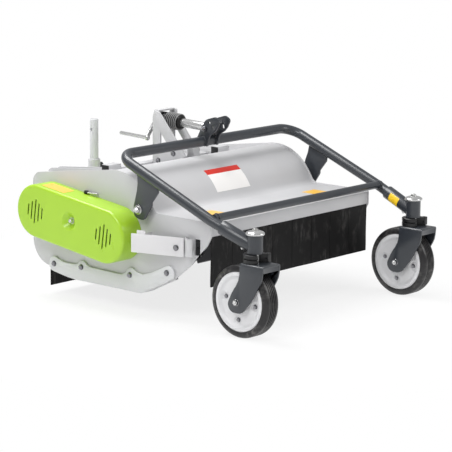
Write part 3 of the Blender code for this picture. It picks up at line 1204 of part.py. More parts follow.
# Castors: fork, spindle with its dome cap, clip, rim and tyre
eye_low = WHEEL_Z - FORK_EYE
fork_outline = rounded([
    (0.030, FORK_TOP, 0),
    (0.033, 0.225, 0.080),
    (0.065, 0.183, 0.120),
    (CASTOR_TRAIL + 0.0445, eye_low + 0.0265, 0.028),
    (CASTOR_TRAIL + 0.0240, eye_low, 0.030),
    (CASTOR_TRAIL - 0.0260, eye_low, 0.036),
    (-0.027, 0.160, 0.150),
    (-0.0745, 0.239, 0.080),
    (-0.0795, FORK_TOP, 0)], step=16)
fork_outside = FORK_INSIDE / 2 + FORK_PLATE
for side, sign in (("left", -1), ("right", 1)):
    x = sign * CASTOR_X
    swivel_axis = pivot("swivel_" + side, (x, 0, BARREL_BOTTOM), frame_pivot)
    wheel_axis = pivot("wheel_axis_" + side, (x, CASTOR_TRAIL, WHEEL_Z), swivel_axis)
    channel = rounded([
        (x - fork_outside, 0.07, 0), (x - FORK_INSIDE / 2, 0.07, 0),
        (x - FORK_INSIDE / 2, FORK_TOP - FORK_PLATE, 0.003),
        (x + FORK_INSIDE / 2, FORK_TOP - FORK_PLATE, 0.003),
        (x + FORK_INSIDE / 2, 0.07, 0), (x + fork_outside, 0.07, 0),
        (x + fork_outside, FORK_TOP, 0.010), (x - fork_outside, FORK_TOP, 0.010)], step=30)
    fork = prism("castor_fork_" + side, channel, -0.10, 0.12, "Y", "frame", swivel_axis)
    shape = prism("fork_shape_" + side, fork_outline + [], x - 0.08, x + 0.08, "X", "frame",
                  swivel_axis, cutter=True)
    axle = spin_profile("axle_shape_" + side, [
        (0, -fork_outside - AXLE_HEAD), (0.011, -fork_outside - AXLE_HEAD),
        (0.012, -fork_outside - 0.001), (0.012, -fork_outside + 0.001),
        (AXLE_RADIUS, -fork_outside + 0.002), (AXLE_RADIUS, fork_outside - 0.002),
        (0.012, fork_outside - 0.001), (0.012, fork_outside + 0.001),
        (0.011, fork_outside + AXLE_HEAD), (0, fork_outside + AXLE_HEAD)],
        (x, CASTOR_TRAIL, WHEEL_Z), "X", "frame", swivel_axis, steps=12, cutter=True)
    lip_side = FORK_INSIDE / 2 + FORK_PLATE / 2
    lip = prism("fork_lip_" + side, rectangle(-0.0768, -0.0708, FORK_TOP - FORK_LIP,
                                              FORK_TOP - FORK_PLATE / 2),
                x - lip_side, x + lip_side, "X", "frame", swivel_axis, cutter=True)
    combine(fork, shape, "INTERSECT")
    weld(fork, lip, axle)
    barrel_top = BARREL_BOTTOM + BARREL_HEIGHT
    spin_profile("castor_spindle_" + side, [
        (0, FORK_TOP + GAP), (SPINDLE_RADIUS, FORK_TOP + GAP),
        (SPINDLE_RADIUS, barrel_top + GAP), (CAP_RADIUS, barrel_top + GAP),
        (CAP_RADIUS, barrel_top + 0.004), (0.032, barrel_top + 0.009),
        (0.024, barrel_top + 0.015), (0.012, barrel_top + 0.0175),
        (0.009, barrel_top + 0.0180), (0.008, barrel_top + 0.0235), (0, barrel_top + 0.0240)],
        (x, 0, 0), "Z", "zinc", swivel_axis, steps=16)
    clip_low, clip_high = FORK_TOP + GAP, BARREL_BOTTOM - GAP
    clip_mid = (clip_low + clip_high) / 2
    clip = spin_profile("castor_clip_" + side, [
        (SPINDLE_RADIUS + RUN, clip_low), (CLIP_RADIUS, clip_low),
        (CLIP_RADIUS, clip_mid - 0.002), (CLIP_RADIUS - 0.006, clip_mid - 0.002),
        (CLIP_RADIUS - 0.006, clip_mid + 0.002), (CLIP_RADIUS, clip_mid + 0.002),
        (CLIP_RADIUS, clip_high), (SPINDLE_RADIUS + RUN, clip_high)],
        (x, 0, 0), "Z", "black", swivel_axis, steps=15, sweep=290, start=-55)
    tab = prism("clip_tab_" + side, rectangle(x + 0.030, x + 0.052, -0.034, -0.014),
                clip_low, clip_high + 0.004 - 0.004, "Z", "black", swivel_axis, cutter=True)
    weld(clip, tab)
    half_w = WHEEL_WIDTH / 2
    dish = 0.010
    rim = spin_profile("castor_rim_" + side, [
        (AXLE_RADIUS + RUN, -0.040), (0.020, -0.040), (0.022, -half_w + dish + 0.002),
        (0.090, -half_w + dish), (0.098, -half_w + 0.004), (RIM_RADIUS - 0.001, -half_w + 0.002),
        (RIM_RADIUS - 0.001, half_w - 0.002), (0.098, half_w - 0.004), (0.090, half_w - dish),
        (0.022, half_w - dish - 0.002), (0.020, 0.040), (AXLE_RADIUS + RUN, 0.040)],
        (x, CASTOR_TRAIL, WHEEL_Z), "X", "rim", wheel_axis, steps=WHEEL_FACETS)
    spin_profile("castor_tyre_" + side, [
        (RIM_RADIUS, -half_w + 0.001), (RIM_RADIUS + 0.006, -half_w),
        (WHEEL_RADIUS - 0.006, -half_w + 0.004), (WHEEL_RADIUS, -half_w + 0.016),
        (WHEEL_RADIUS, half_w - 0.016), (WHEEL_RADIUS - 0.006, half_w - 0.004),
        (RIM_RADIUS + 0.006, half_w), (RIM_RADIUS, half_w - 0.001)],
        (x, CASTOR_TRAIL, WHEEL_Z), "X", "tyre", wheel_axis, steps=WHEEL_FACETS)

# Height-adjusting link, built along its own axis from the trunnions to the lug pin
link_axis = Vector((0, LINK_FRONT[0] - LINK_REAR[0], LINK_FRONT[1] - LINK_REAR[1]))
link_length = link_axis.length
link_axis.normalize()
link_turn = pivot("link_turn", (0, *LINK_REAR), "machine")
tilt = math.atan2(link_axis.z, link_axis.y)


def lie_along(obj):
    """Turn an object built along +Y about its pivot onto the link's axis."""
    obj.rotation_euler = (tilt, 0.0, 0.0)
    return obj


base = (0.0, *LINK_REAR)
start_y = LINK_REAR[0]
housing = spin_profile("link_housing", [
    (SCREW_RADIUS + RUN, start_y - 0.021), (0.030, start_y - 0.021), (0.031, start_y - 0.018),
    (0.031, start_y + 0.010), (0.027, start_y + 0.020), (SCREW_RADIUS + RUN, start_y + 0.020)],
    (0, 0, LINK_REAR[1]), "Y", "black", link_turn, steps=20)
trunnions = spin_profile("trunnion_shape", [
    (0, -HEAD_HALF + 0.001), (TRUNNION_PIN, -HEAD_HALF + 0.001), (TRUNNION_PIN, -0.025),
    (0, -0.025)], base, "X", "black", link_turn, steps=14, cutter=True)
trunnions_right = spin_profile("trunnion_shape_right", [
    (0, 0.025), (TRUNNION_PIN, 0.025), (TRUNNION_PIN, HEAD_HALF - 0.001),
    (0, HEAD_HALF - 0.001)], base, "X", "black", link_turn, steps=14, cutter=True)
weld(housing, trunnions, trunnions_right)


def along_link(profile):
    """Profile distances from the trunnions toward the lug pin, as Y in place."""
    return [(radius, start_y + distance) for radius, distance in profile]


# The link is built pointing to +Y from the trunnions and turned by tilt, which is
# close to half a turn, so it ends pointing at the lugs.
bellows_start, bellows_end = 0.0215, 0.105
tube_start, tube_finish = 0.095, link_length
lie_along(housing)
trunnion_cutters = (trunnions, trunnions_right)
for shape in trunnion_cutters:
    lie_along(shape)

ribs = [(BELLOWS_ROOT - BELLOWS_WALL, bellows_start), (BELLOWS_ROOT + 0.003, bellows_start)]
pitch = (bellows_end - bellows_start - 0.014) / BELLOWS_RIBS
for k in range(BELLOWS_RIBS):
    base_y = bellows_start + 0.004 + k * pitch
    ribs += [(BELLOWS_ROOT, base_y), (BELLOWS_RADIUS, base_y + pitch * 0.5)]
ribs += [(BELLOWS_ROOT, bellows_end - 0.010), (BELLOWS_ROOT, bellows_end - 0.004),
         (LINK_TUBE + 0.004, bellows_end), (LINK_TUBE + 0.0005, bellows_end),
         (LINK_TUBE + 0.0005, bellows_end - 0.006),
         (BELLOWS_ROOT - BELLOWS_WALL, bellows_end - 0.009)]
bellows = spin_profile("link_bellows", along_link(ribs), (0, 0, LINK_REAR[1]), "Y", "rubber",
                       link_turn, steps=16)
lie_along(bellows)

tube = spin_profile("link_tube", along_link([
    (LINK_BORE, tube_start), (LINK_TUBE, tube_start), (LINK_TUBE, tube_finish - 0.012),
    (LINK_TUBE - 0.003, tube_finish + 0.012), (LINK_BORE, tube_finish + 0.012)]),
    (0, 0, LINK_REAR[1]), "Y", "zinc", link_turn, steps=18)
eye_core = spin_profile("link_eye", [
    (0, -0.0255), (0.016, -0.0255), (0.016, 0.0255), (0, 0.0255)],
    (0, start_y + tube_finish, LINK_REAR[1]), "X", "zinc", link_turn, steps=18, cutter=True)
eye_bore = spin_profile("link_eye_bore", [
    (0, -0.05), (LINK_PIN + LINK_PLAY, -0.05), (LINK_PIN + LINK_PLAY, 0.05), (0, 0.05)],
    (0, start_y + tube_finish, LINK_REAR[1]), "X", "zinc", link_turn, steps=18, cutter=True)
weld(tube, eye_core)
cut(tube, eye_bore)
for piece in (tube, eye_core, eye_bore):
    lie_along(piece)

# Crank: hub on the screw's end, a flat arm and a round handle along the link
hub_y = start_y - 0.038
crank = spin_profile("crank", [
    (0, hub_y - 0.012), (SCREW_RADIUS - 0.002, hub_y - 0.012), (SCREW_RADIUS, hub_y - 0.007),
    (0.018, hub_y - 0.007), (0.018, hub_y + 0.007), (SCREW_RADIUS, hub_y + 0.007),
    (SCREW_RADIUS, start_y + 0.150), (0.008, start_y + 0.156), (0, start_y + 0.156)],
    (0, 0, LINK_REAR[1]), "Y", "zinc", link_turn, steps=16)
reach = Vector((-0.612, 0.791)).normalized()
arm_from = Vector((0, LINK_REAR[1])) + reach * 0.015
arm_to = Vector((0, LINK_REAR[1])) + reach * CRANK_REACH
wide = Vector((-reach.y, reach.x)) * 0.009
arm = prism("crank_arm", [tuple(arm_from + wide), tuple(arm_to + wide),
                          tuple(arm_to + reach * 0.010), tuple(arm_to - wide),
                          tuple(arm_from - wide)],
            hub_y - 0.003, hub_y + 0.003, "Y", "zinc", link_turn, cutter=True)
grip = spin_profile("crank_grip", [
    (0, hub_y - HANDLE_LENGTH), (CRANK_HANDLE - 0.001, hub_y - HANDLE_LENGTH),
    (CRANK_HANDLE, hub_y - HANDLE_LENGTH + 0.002), (CRANK_HANDLE, hub_y),
    (0.011, hub_y), (0.011, hub_y + 0.008), (0, hub_y + 0.008)],
    (arm_to.x, 0, arm_to.y), "Y", "zinc", link_turn, steps=12, cutter=True)
weld(crank, arm, grip)
for piece in (crank, arm, grip):
    lie_along(piece)
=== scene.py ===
# %% [markdown]
# A flail mulcher for a small tractor, seen from its front left corner. The plain
# machine comes from the imported CAD model, and this script gives each piece its real
# surface: thin folded sheet, bent tube, moulded guard, rubber, zinc and powder coat.
# The first cell loads the CAD frame. No piece may leave it.

import json
import math

import bmesh
import bpy
import numpy as np
from mathutils import Matrix, Vector
from mathutils.bvhtree import BVHTree

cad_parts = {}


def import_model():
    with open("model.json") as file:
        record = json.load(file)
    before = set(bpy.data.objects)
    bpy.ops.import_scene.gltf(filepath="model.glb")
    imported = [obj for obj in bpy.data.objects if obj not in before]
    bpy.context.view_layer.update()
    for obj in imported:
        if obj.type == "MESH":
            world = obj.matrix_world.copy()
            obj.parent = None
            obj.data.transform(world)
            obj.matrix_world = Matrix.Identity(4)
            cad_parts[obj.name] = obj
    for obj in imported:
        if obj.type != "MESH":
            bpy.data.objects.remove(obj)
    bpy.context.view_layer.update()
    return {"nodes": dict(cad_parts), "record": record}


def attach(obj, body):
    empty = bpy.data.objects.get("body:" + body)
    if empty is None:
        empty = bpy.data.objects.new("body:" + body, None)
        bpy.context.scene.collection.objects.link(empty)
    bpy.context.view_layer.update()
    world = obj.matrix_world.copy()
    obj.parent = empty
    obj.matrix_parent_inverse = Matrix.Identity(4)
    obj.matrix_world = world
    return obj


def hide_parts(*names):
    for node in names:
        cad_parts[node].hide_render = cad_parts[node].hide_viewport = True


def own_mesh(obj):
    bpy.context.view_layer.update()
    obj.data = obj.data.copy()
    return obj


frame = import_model()
cad_nodes = frame["nodes"]
print("CAD nodes:", len(cad_nodes))

# %% [markdown]
# The machine is drawn in its own frame: X across, Y from the castors back to the
# tractor, Z up. The CAD model stands with the middle of its box over the world's
# origin, so one shift takes a machine point to the world.

# %% Machine frame
GROUND = 0.007
WORLD_SHIFT = Vector((0.02065, -0.57225, -GROUND))
HALF_WIDTH = 0.475
SIDE_THICK = 0.006
INNER_HALF = HALF_WIDTH - SIDE_THICK
GAP = 0.0003
SIDES = (("left", -1), ("right", 1))


def world(point):
    """A machine point in world coordinates."""
    return Vector(point) + WORLD_SHIFT


def mirrored(point, sign):
    """A point of the right side, or its twin on the left where sign is -1."""
    return Vector((point[0] * sign, point[1], point[2]))


print("the machine's origin is at", tuple(round(v, 4) for v in world((0, 0, 0))))

# %% [markdown]
# The camera stands where the photographer stood. A long lens, 164 mm on a 36 mm frame,
# gives the photograph's flat perspective, and a turn of a third of a degree about the
# view axis levels the picture as it was taken.

# %% Camera
CAMERA_POINT = (-6.015, -4.739, 1.855)
CAMERA_AZIMUTH = -48.6
CAMERA_ELEVATION = 11.1
CAMERA_ROLL = 0.36
FILM = 36.0
IMAGE_WIDTH = 452.0
FOCAL_PIXELS = 2058.0


def linked(name, data):
    """An object with its data, in the scene."""
    obj = bpy.data.objects.new(name, data)
    bpy.context.scene.collection.objects.link(obj)
    return obj


def camera_axes(azimuth, elevation, roll):
    """Right, up and back vectors of a camera, angles in degrees."""
    a, e, r = (math.radians(v) for v in (azimuth, elevation, roll))
    back = Vector((math.sin(a) * math.cos(e), -math.cos(a) * math.cos(e), math.sin(e)))
    right = Vector((math.cos(a), math.sin(a), 0.0))
    up = back.cross(right)
    turned = right * math.cos(r) + up * math.sin(r)
    return turned, back.cross(turned), back


lens = bpy.data.cameras.new("camera")
lens.sensor_width = FILM
lens.lens = FOCAL_PIXELS / IMAGE_WIDTH * FILM
lens.clip_start = 0.1
lens.clip_end = 60.0
camera = linked("camera", lens)
axes = Matrix(camera_axes(CAMERA_AZIMUTH, CAMERA_ELEVATION, CAMERA_ROLL)).transposed().to_4x4()
camera.matrix_world = Matrix.Translation(world(CAMERA_POINT)) @ axes
bpy.context.scene.camera = camera
print("camera at", tuple(round(v, 3) for v in camera.matrix_world.translation))

# %% [markdown]
# Materials, the world and Geometry Nodes are all node trees, so one function makes a
# node in any of them. Maths reads best as plain expressions: a small class wraps a
# socket so that `a * b + 0.1` adds its Math nodes to the tree.

# %% Nodes and expressions


def feed(tree, socket, value):
    """A link, a colour or a plain value into a socket."""
    value = getattr(value, "socket", value)
    if isinstance(value, bpy.types.NodeSocket):
        tree.links.new(value, socket)
    elif isinstance(value, tuple) and len(socket.default_value) == 4:
        socket.default_value = (*value, 1.0)
    else:
        socket.default_value = value


def add_node(tree, kind, settings=None, **inputs):
    """A node: its settings first, then its sockets by name, or by number as i0 or i1."""
    made = tree.nodes.new(kind)
    for key, value in (settings or {}).items():
        setattr(made, key, value)
    for key, value in inputs.items():
        numbered = key[0] == "i" and key[1:].isdigit()
        feed(tree, made.inputs[int(key[1:]) if numbered else key.replace("_", " ")], value)
    return made


def maths(tree, operation, *values):
    """One Math node as a term."""
    made = add_node(tree, "ShaderNodeMath", {"operation": operation},
                    **{f"i{k}": value for k, value in enumerate(values)})
    return Term(tree, made.outputs[0])


class Term:
    """A value socket that takes part in arithmetic."""

    def __init__(self, tree, socket):
        self.tree, self.socket = tree, socket

    def __add__(self, other):
        return maths(self.tree, "ADD", self, other)

    __radd__ = __add__

    def __mul__(self, other):
        return maths(self.tree, "MULTIPLY", self, other)

    __rmul__ = __mul__

    def __sub__(self, other):
        return maths(self.tree, "SUBTRACT", self, other)

    def __rsub__(self, other):
        return maths(self.tree, "SUBTRACT", other, self)

    def clip(self, low, high):
        """This value between two limits, spread to 0..1."""
        made = add_node(self.tree, "ShaderNodeMapRange", {"clamp": True}, Value=self,
                        From_Min=low, From_Max=high)
        return Term(self.tree, made.outputs["Result"])


# %% [markdown]
# The photograph is a cut-out on white. A pale floor keeps a soft shadow near the machine
# and turns white away from it. The world is white to the camera and lights the machine
# a little. Three large soft lamps do the rest: one above, one from the camera's right
# and one from its left.

# %% Floor, world and lamps
WHITE = (1.0, 1.0, 1.0)
FLOOR_TONE = (0.94, 0.94, 0.94)
FLOOR_HALF = 14.0
FADE_FROM, FADE_TO = 0.55, 1.5
FLOOR_GLOW = 0.80
WORLD_LIGHT = 0.42
AIM = (0.0, 0.0, 0.3)
LAMPS = {
    "lamp_top": ((-0.4, 1.2, 3.2), 1.8, 98.0),
    "lamp_right": ((1.6, -3.2, 2.0), 1.6, 36.0),
    "lamp_left": ((-3.0, -0.6, 2.9), 1.6, 50.0),
}
bpy.context.scene.view_settings.view_transform = "Standard"


def plain_floor():
    mesh = bpy.data.meshes.new("floor")
    mesh.from_pydata([(-FLOOR_HALF, -FLOOR_HALF, 0), (FLOOR_HALF, -FLOOR_HALF, 0),
                      (FLOOR_HALF, FLOOR_HALF, 0), (-FLOOR_HALF, FLOOR_HALF, 0)],
                     [], [(0, 1, 2, 3)])
    mat = bpy.data.materials.new("floor")
    mat.use_nodes = True
    tree = mat.node_tree
    tree.nodes.clear()
    rays = add_node(tree, "ShaderNodeLightPath")
    seen = maths(tree, "MAXIMUM", rays.outputs["Is Camera Ray"], rays.outputs["Is Glossy Ray"])
    spot = add_node(tree, "ShaderNodeNewGeometry").outputs["Position"]
    reach = add_node(tree, "ShaderNodeVectorMath", {"operation": "LENGTH"}, i0=spot)
    fade = add_node(tree, "ShaderNodeMapRange", Value=reach.outputs["Value"],
                    From_Min=FADE_FROM, From_Max=FADE_TO, To_Min=FLOOR_GLOW, To_Max=1.0)
    diffuse = add_node(tree, "ShaderNodeBsdfDiffuse", Color=FLOOR_TONE)
    glow = add_node(tree, "ShaderNodeEmission", Color=WHITE, Strength=1.0)
    mix = add_node(tree, "ShaderNodeMixShader", i0=seen * fade.outputs["Result"],
                   i1=diffuse.outputs[0], i2=glow.outputs[0])
    add_node(tree, "ShaderNodeOutputMaterial", Surface=mix.outputs[0])
    mesh.materials.append(mat)
    linked("floor", mesh)


def white_world(strength):
    studio = bpy.data.worlds.new("studio")
    bpy.context.scene.world = studio
    studio.use_nodes = True
    tree = studio.node_tree
    tree.nodes.clear()
    dim = add_node(tree, "ShaderNodeBackground", Color=WHITE, Strength=strength)
    white = add_node(tree, "ShaderNodeBackground", Color=WHITE, Strength=1.0)
    rays = add_node(tree, "ShaderNodeLightPath")
    mix = add_node(tree, "ShaderNodeMixShader", i0=rays.outputs["Is Camera Ray"],
                   i1=dim.outputs[0], i2=white.outputs[0])
    add_node(tree, "ShaderNodeOutputWorld", Surface=mix.outputs[0])


def soft_lamp(name, place, size, watts):
    light = bpy.data.lights.new(name, "AREA")
    light.shape = "SQUARE"
    light.size = size
    light.energy = watts
    lamp = linked(name, light)
    lamp.location = place
    lamp.rotation_euler = (Vector(AIM) - Vector(place)).to_track_quat("-Z", "Y").to_euler()


plain_floor()
white_world(WORLD_LIGHT)
for name, (place, size, watts) in LAMPS.items():
    soft_lamp(name, place, size, watts)
print("lamps:", ", ".join(LAMPS))

# %% [markdown]
# Each finish is a recipe: a function that builds one material from colours and sizes.
# This class holds the material's tree and the few nodes that every recipe uses. Its
# noise takes the size of a feature in metres, so a pattern keeps its real scale.

# %% Material trees


class Graph:
    """The node tree of one material."""

    def __init__(self, name):
        self.material = bpy.data.materials.new(name)
        self.material.use_nodes = True
        self.tree = self.material.node_tree
        self.shader = self.tree.nodes["Principled BSDF"]

    def node(self, kind, settings=None, **inputs):
        return add_node(self.tree, "ShaderNode" + kind, settings, **inputs)

    def surface(self, **inputs):
        """Values or links of the shader's own sockets."""
        for key, value in inputs.items():
            feed(self.tree, self.shader.inputs[key.replace("_", " ")], value)

    def mix(self, factor, one, two):
        """A colour mix; factor, one and two are values or sockets."""
        return self.node("Mix", {"data_type": "RGBA"}, i0=factor, i6=one, i7=two).outputs[2]

    def place(self, stretch=(1.0, 1.0, 1.0)):
        """Object coordinates, so a pattern keeps its real size."""
        where = self.node("TexCoord").outputs["Object"]
        return self.node("Mapping", Vector=where, Scale=stretch).outputs["Vector"]

    def noise(self, size, detail=3.0, rough=0.5, stretch=(1.0, 1.0, 1.0)):
        """Noise of a feature size in metres, about 0 to 1."""
        made = self.node("TexNoise", Vector=self.place(stretch), Scale=1.0 / size,
                         Detail=detail, Roughness=rough)
        return Term(self.tree, made.outputs[0])

    def bump(self, height, distance):
        made = self.node("Bump", Height=height, Distance=distance, Strength=1.0)
        self.surface(Normal=made.outputs["Normal"])


def linear(r, g, b):
    """An sRGB colour of 0..255 as linear values."""
    def one(v):
        v /= 255.0
        return v / 12.92 if v <= 0.04045 else ((v + 0.055) / 1.055) ** 2.4
    return (one(r), one(g), one(b))


def toned(colour, share):
    """A colour made lighter or darker by a share."""
    return tuple(min(1.0, c * share) for c in linear(*colour))




# %% [markdown]
# Most of the machine is powder coat. It has a faint orange peel about 2 mm wide, a
# satin gloss that wanders a little, and a thin film of dust that lies in patches, so
# the colour is never quite even. One recipe makes the grey, pale, dark and green coats.

# %% Powder coats


def powder_coat(name, colour, rough, peel=0.00006, dust=(150, 148, 143), dust_share=0.10,
                varnish=0.0, gloss=0.08):
    g = Graph(name)
    wander = g.noise(0.16, 4.0, 0.55)
    grain = g.noise(0.004, 2.0, 0.5)
    film = (wander * 0.8 + grain * 0.2).clip(0.42, 0.75)
    tone = g.mix(film * dust_share, linear(*colour), linear(*dust))
    cloud = g.noise(0.35, 2.0, 0.5).clip(0.35, 0.7)
    g.surface(Base_Color=g.mix(cloud * 0.45, tone, toned(colour, 1.05)),
              Roughness=wander * 0.16 + (rough - 0.08) + film * 0.06,
              Coat_Weight=varnish, Coat_Roughness=gloss)
    g.bump(g.noise(0.0022, 1.0, 0.4), peel)
    return g.material


coat_body = powder_coat("coat_body", (198, 198, 200), 0.38)
coat_skid = powder_coat("coat_skid", (216, 217, 219), 0.40)
coat_bumper = powder_coat("coat_bumper", (222, 221, 223), 0.40)
coat_frame = powder_coat("coat_frame", (48, 52, 58), 0.34, peel=0.000004,
                         dust=(110, 108, 104), dust_share=0.05, varnish=0.4, gloss=0.22)
coat_green = powder_coat("coat_green", (167, 210, 46), 0.30, peel=0.00003,
                         dust=(150, 170, 90), dust_share=0.05, varnish=0.25)

# %% [markdown]
# Bright parts are zinc plate: a thin blue-white metal layer with fine spangle and
# smears. Turned steel and cast iron take the same recipe, darker and duller. The black
# steel of the link is painted, so it is a powder coat.

# %% Metals
SPANGLE_SCALE = 420.0


def zinc(name, colour, rough, spangle_share=0.35, metal=1.0):
    g = Graph(name)
    spangle = g.node("TexVoronoi", Vector=g.place(), Scale=SPANGLE_SCALE)
    flake = Term(g.tree, spangle.outputs["Distance"]).clip(0.0, 0.9)
    smear = g.noise(0.03, 4.0, 0.6)
    g.surface(Base_Color=g.mix(flake * spangle_share + smear * 0.3, linear(*colour),
                               toned(colour, 0.78)),
              Roughness=smear * 0.20 + (rough - 0.07), Metallic=metal)
    g.bump(smear + flake * (0.5 * spangle_share), 0.00003)
    return g.material


metal_zinc = zinc("metal_zinc", (214, 214, 212), 0.26)
metal_bright = zinc("metal_bright", (216, 216, 216), 0.15, 0.05, 0.75)
# The bolts' zinc is painted darker, as a painted reflection of dark surroundings on their heads.
metal_bolt = zinc("metal_bolt", (150, 150, 154), 0.22, 0.3)
metal_steel = zinc("metal_steel", (150, 150, 150), 0.36)
metal_dark = zinc("metal_dark", (72, 72, 74), 0.42)
metal_black = powder_coat("metal_black", (30, 31, 33), 0.34, peel=0.00004,
                          dust=(70, 68, 66), dust_share=0.06, varnish=0.3)

# %% [markdown]
# Rubber and plastic have hardly any shine of their own. The curtain is a matt rolled
# sheet with pale streaks painted in as sheen, and the tyres are solid rubber with dusty
# scuffs. The bellows has a painted highlight, pale on its crests, which its mesh marks
# with an attribute. Rims and blank patches show the faint flow marks of a moulding.

# %% Rubber and plastic


def black_moulding(name, colour, rough, grain_size, bloom):
    """Hard black plastic with a fine grain and a faint grey bloom."""
    g = Graph(name)
    grain = g.noise(grain_size, 2.0, 0.6)
    haze = g.noise(0.05, 4.0, 0.6).clip(0.4, 0.75)
    pale = tuple(min(1.0, c + 0.06) for c in linear(*colour))
    g.surface(Base_Color=g.mix(haze * bloom * 2.0, linear(*colour), pale),
              Roughness=grain * 0.12 + haze * 0.10 + (rough - 0.10))
    g.bump(grain, 0.00012)
    return g.material


def sheet_with_painted_sheen(name):
    """Rolled rubber sheet with a soft uneven sheen; pale streaks down its length are painted sheen.
    """
    g = Graph(name)
    grain = g.noise(0.0012, 2.0, 0.6)
    streak = g.noise(0.020, 5.0, 0.62, (1.0, 1.0, 0.28)).clip(0.48, 0.78)
    cloud = g.noise(0.075, 3.0, 0.55).clip(0.46, 0.72)
    # The pale streaks and clouds mixed into the colour are painted sheen.
    painted_sheen = streak * cloud
    g.surface(Base_Color=g.mix(painted_sheen * 0.62, linear(8, 7, 8), linear(112, 110, 108)),
              Specular_IOR_Level=0.18, Roughness=painted_sheen * 0.20 + grain * 0.10 + 0.42)
    g.bump(grain * 0.5 + streak * 0.5, 0.00025)
    return g.material


def scuffed_tyre(name):
    """Dark solid rubber with dusty scuffs."""
    g = Graph(name)
    grain = g.noise(0.0016, 3.0, 0.6)
    scuff = g.noise(0.016, 4.0, 0.6, (0.35, 1.0, 1.0)).clip(0.40, 0.72)
    worn = scuff * g.noise(0.07, 2.0, 0.5).clip(0.42, 0.70)
    g.surface(Base_Color=g.mix(worn * 0.85, linear(30, 29, 31), linear(124, 122, 119)),
              Roughness=worn * 0.18 + grain * 0.06 + 0.30)
    g.bump(scuff, 0.00010)
    return g.material


def pleated(name):
    """Soft black rubber whose crests are painted pale as a highlight; the mesh says where they are.
    """
    g = Graph(name)
    crest = Term(g.tree, g.node("Attribute", {"attribute_name": "crest"}).outputs["Fac"])
    haze = g.noise(0.02, 3.0, 0.6)
    # The crests are painted pale in the colour: a painted highlight.
    painted_sheen = crest.clip(0.55, 0.95) * (haze * 0.5 + 0.6)
    g.surface(Base_Color=g.mix(painted_sheen, linear(8, 8, 9), linear(176, 176, 176)),
              Roughness=haze * 0.12 + 0.26)
    g.bump(haze, 0.00005)
    return g.material


def moulded(name, colour, rough):
    """Smooth moulded plastic with faint flow marks."""
    g = Graph(name)
    flow = g.noise(0.06, 3.0, 0.5)
    g.surface(Base_Color=g.mix(flow * 0.5, linear(*colour), toned(colour, 0.93)),
              Roughness=flow * 0.12 + (rough - 0.06))
    g.bump(g.noise(0.0018, 1.0, 0.4), 0.00003)
    return g.material


plastic_black = black_moulding("plastic_black", (22, 22, 24), 0.36, 0.0009, 0.03)
rubber_bellows = pleated("rubber_bellows")
rubber_sheet = sheet_with_painted_sheen("rubber_sheet")
rubber_tyre = scuffed_tyre("rubber_tyre")
plastic_rim = moulded("plastic_rim", (226, 226, 228), 0.36)
patch_white = moulded("patch_white", (250, 248, 246), 0.30)
patch_red = moulded("patch_red", (218, 52, 40), 0.30)
patch_amber = moulded("patch_amber", (250, 196, 84), 0.30)
patch_yellow = moulded("patch_yellow", (250, 206, 40), 0.30)

print("materials:", len(bpy.data.materials))

# %% [markdown]
# Outlines are drawn as on paper: corners with radii, arcs, offsets. A plate is an
# outline with holes given a thickness, a turned piece is a profile spun about an
# axis, and a tube is a circle swept along a bent path. Small helpers do each one.

# %% Outline helpers


def arc(centre, radius, start, end, steps):
    angles = np.radians(np.linspace(start, end, steps + 1))
    return [(centre[0] + radius * math.cos(a), centre[1] + radius * math.sin(a))
            for a in angles]


def circle(centre, radius, steps=40):
    return arc(centre, radius, 0, 360, steps)[:-1]


def rounded(corners, closed=True, step=4.0):
    """A polyline whose corners (u, v, radius) are rounded with an arc every step degrees."""
    out = []
    count = len(corners)
    for i, (u, v, radius) in enumerate(corners):
        if radius <= 0 or (not closed and i in (0, count - 1)):
            out.append((u, v))
            continue
        here = Vector((u, v))
        back = (Vector(corners[i - 1][:2]) - here).normalized()
        ahead = (Vector(corners[(i + 1) % count][:2]) - here).normalized()
        half = math.acos(max(-1.0, min(1.0, back.dot(ahead)))) / 2
        turn = math.pi - 2 * half
        centre = here + (back + ahead).normalized() * (radius / math.sin(half))
        first = here + back * (radius / math.tan(half)) - centre
        last = here + ahead * (radius / math.tan(half)) - centre
        side = 1 if first.x * last.y - first.y * last.x > 0 else -1
        steps = max(1, round(math.degrees(turn) / step))
        for k in range(steps + 1):
            angle = side * turn * k / steps
            out.append((centre.x + first.x * math.cos(angle) - first.y * math.sin(angle),
                        centre.y + first.x * math.sin(angle) + first.y * math.cos(angle)))
    return out


def offset_line(line, distance):
    """A polyline moved to its left by a distance."""
    out = []
    for i, point in enumerate(line):
        here = Vector(point)
        before = (here - Vector(line[i - 1])).normalized() if i else None
        after = (Vector(line[i + 1]) - here).normalized() if i < len(line) - 1 else None
        before = before or after
        after = after or before
        tangent = (before + after).normalized()
        normal = Vector((-tangent.y, tangent.x))
        out.append(tuple(here + normal * distance / max(0.3, tangent.dot(after))))
    return out


def rectangle(u0, u1, v0, v1):
    return [(u0, v0), (u1, v0), (u1, v1), (u0, v1)]


# %% [markdown]
# Every piece ends the same way: its modifiers are applied, its faces are smoothed
# up to a crease angle, it gets its material, and it rides on a CAD body and stands
# for the CAD nodes it replaces. A bevel of a fraction of a millimetre gives each
# cut edge the highlight that real sheet and bar have.

# %% Finishing helpers
MERGE = 1e-6


def mesh_object(name, bm):
    """A bmesh as an object in the scene."""
    mesh = bpy.data.meshes.new(name)
    bm.to_mesh(mesh)
    bm.free()
    return linked(name, mesh)


def applied(obj):
    """The object with its modifiers turned into mesh."""
    bpy.context.view_layer.update()
    deps = bpy.context.evaluated_depsgraph_get()
    mesh = bpy.data.meshes.new_from_object(obj.evaluated_get(deps), depsgraph=deps)
    old = obj.data
    obj.modifiers.clear()
    obj.data = mesh
    bpy.data.meshes.remove(old)


def smoothed(mesh, crease):
    """Smooth faces up to a crease angle in degrees."""
    mesh.shade_smooth()
    mesh.set_sharp_from_angle(angle=math.radians(crease))


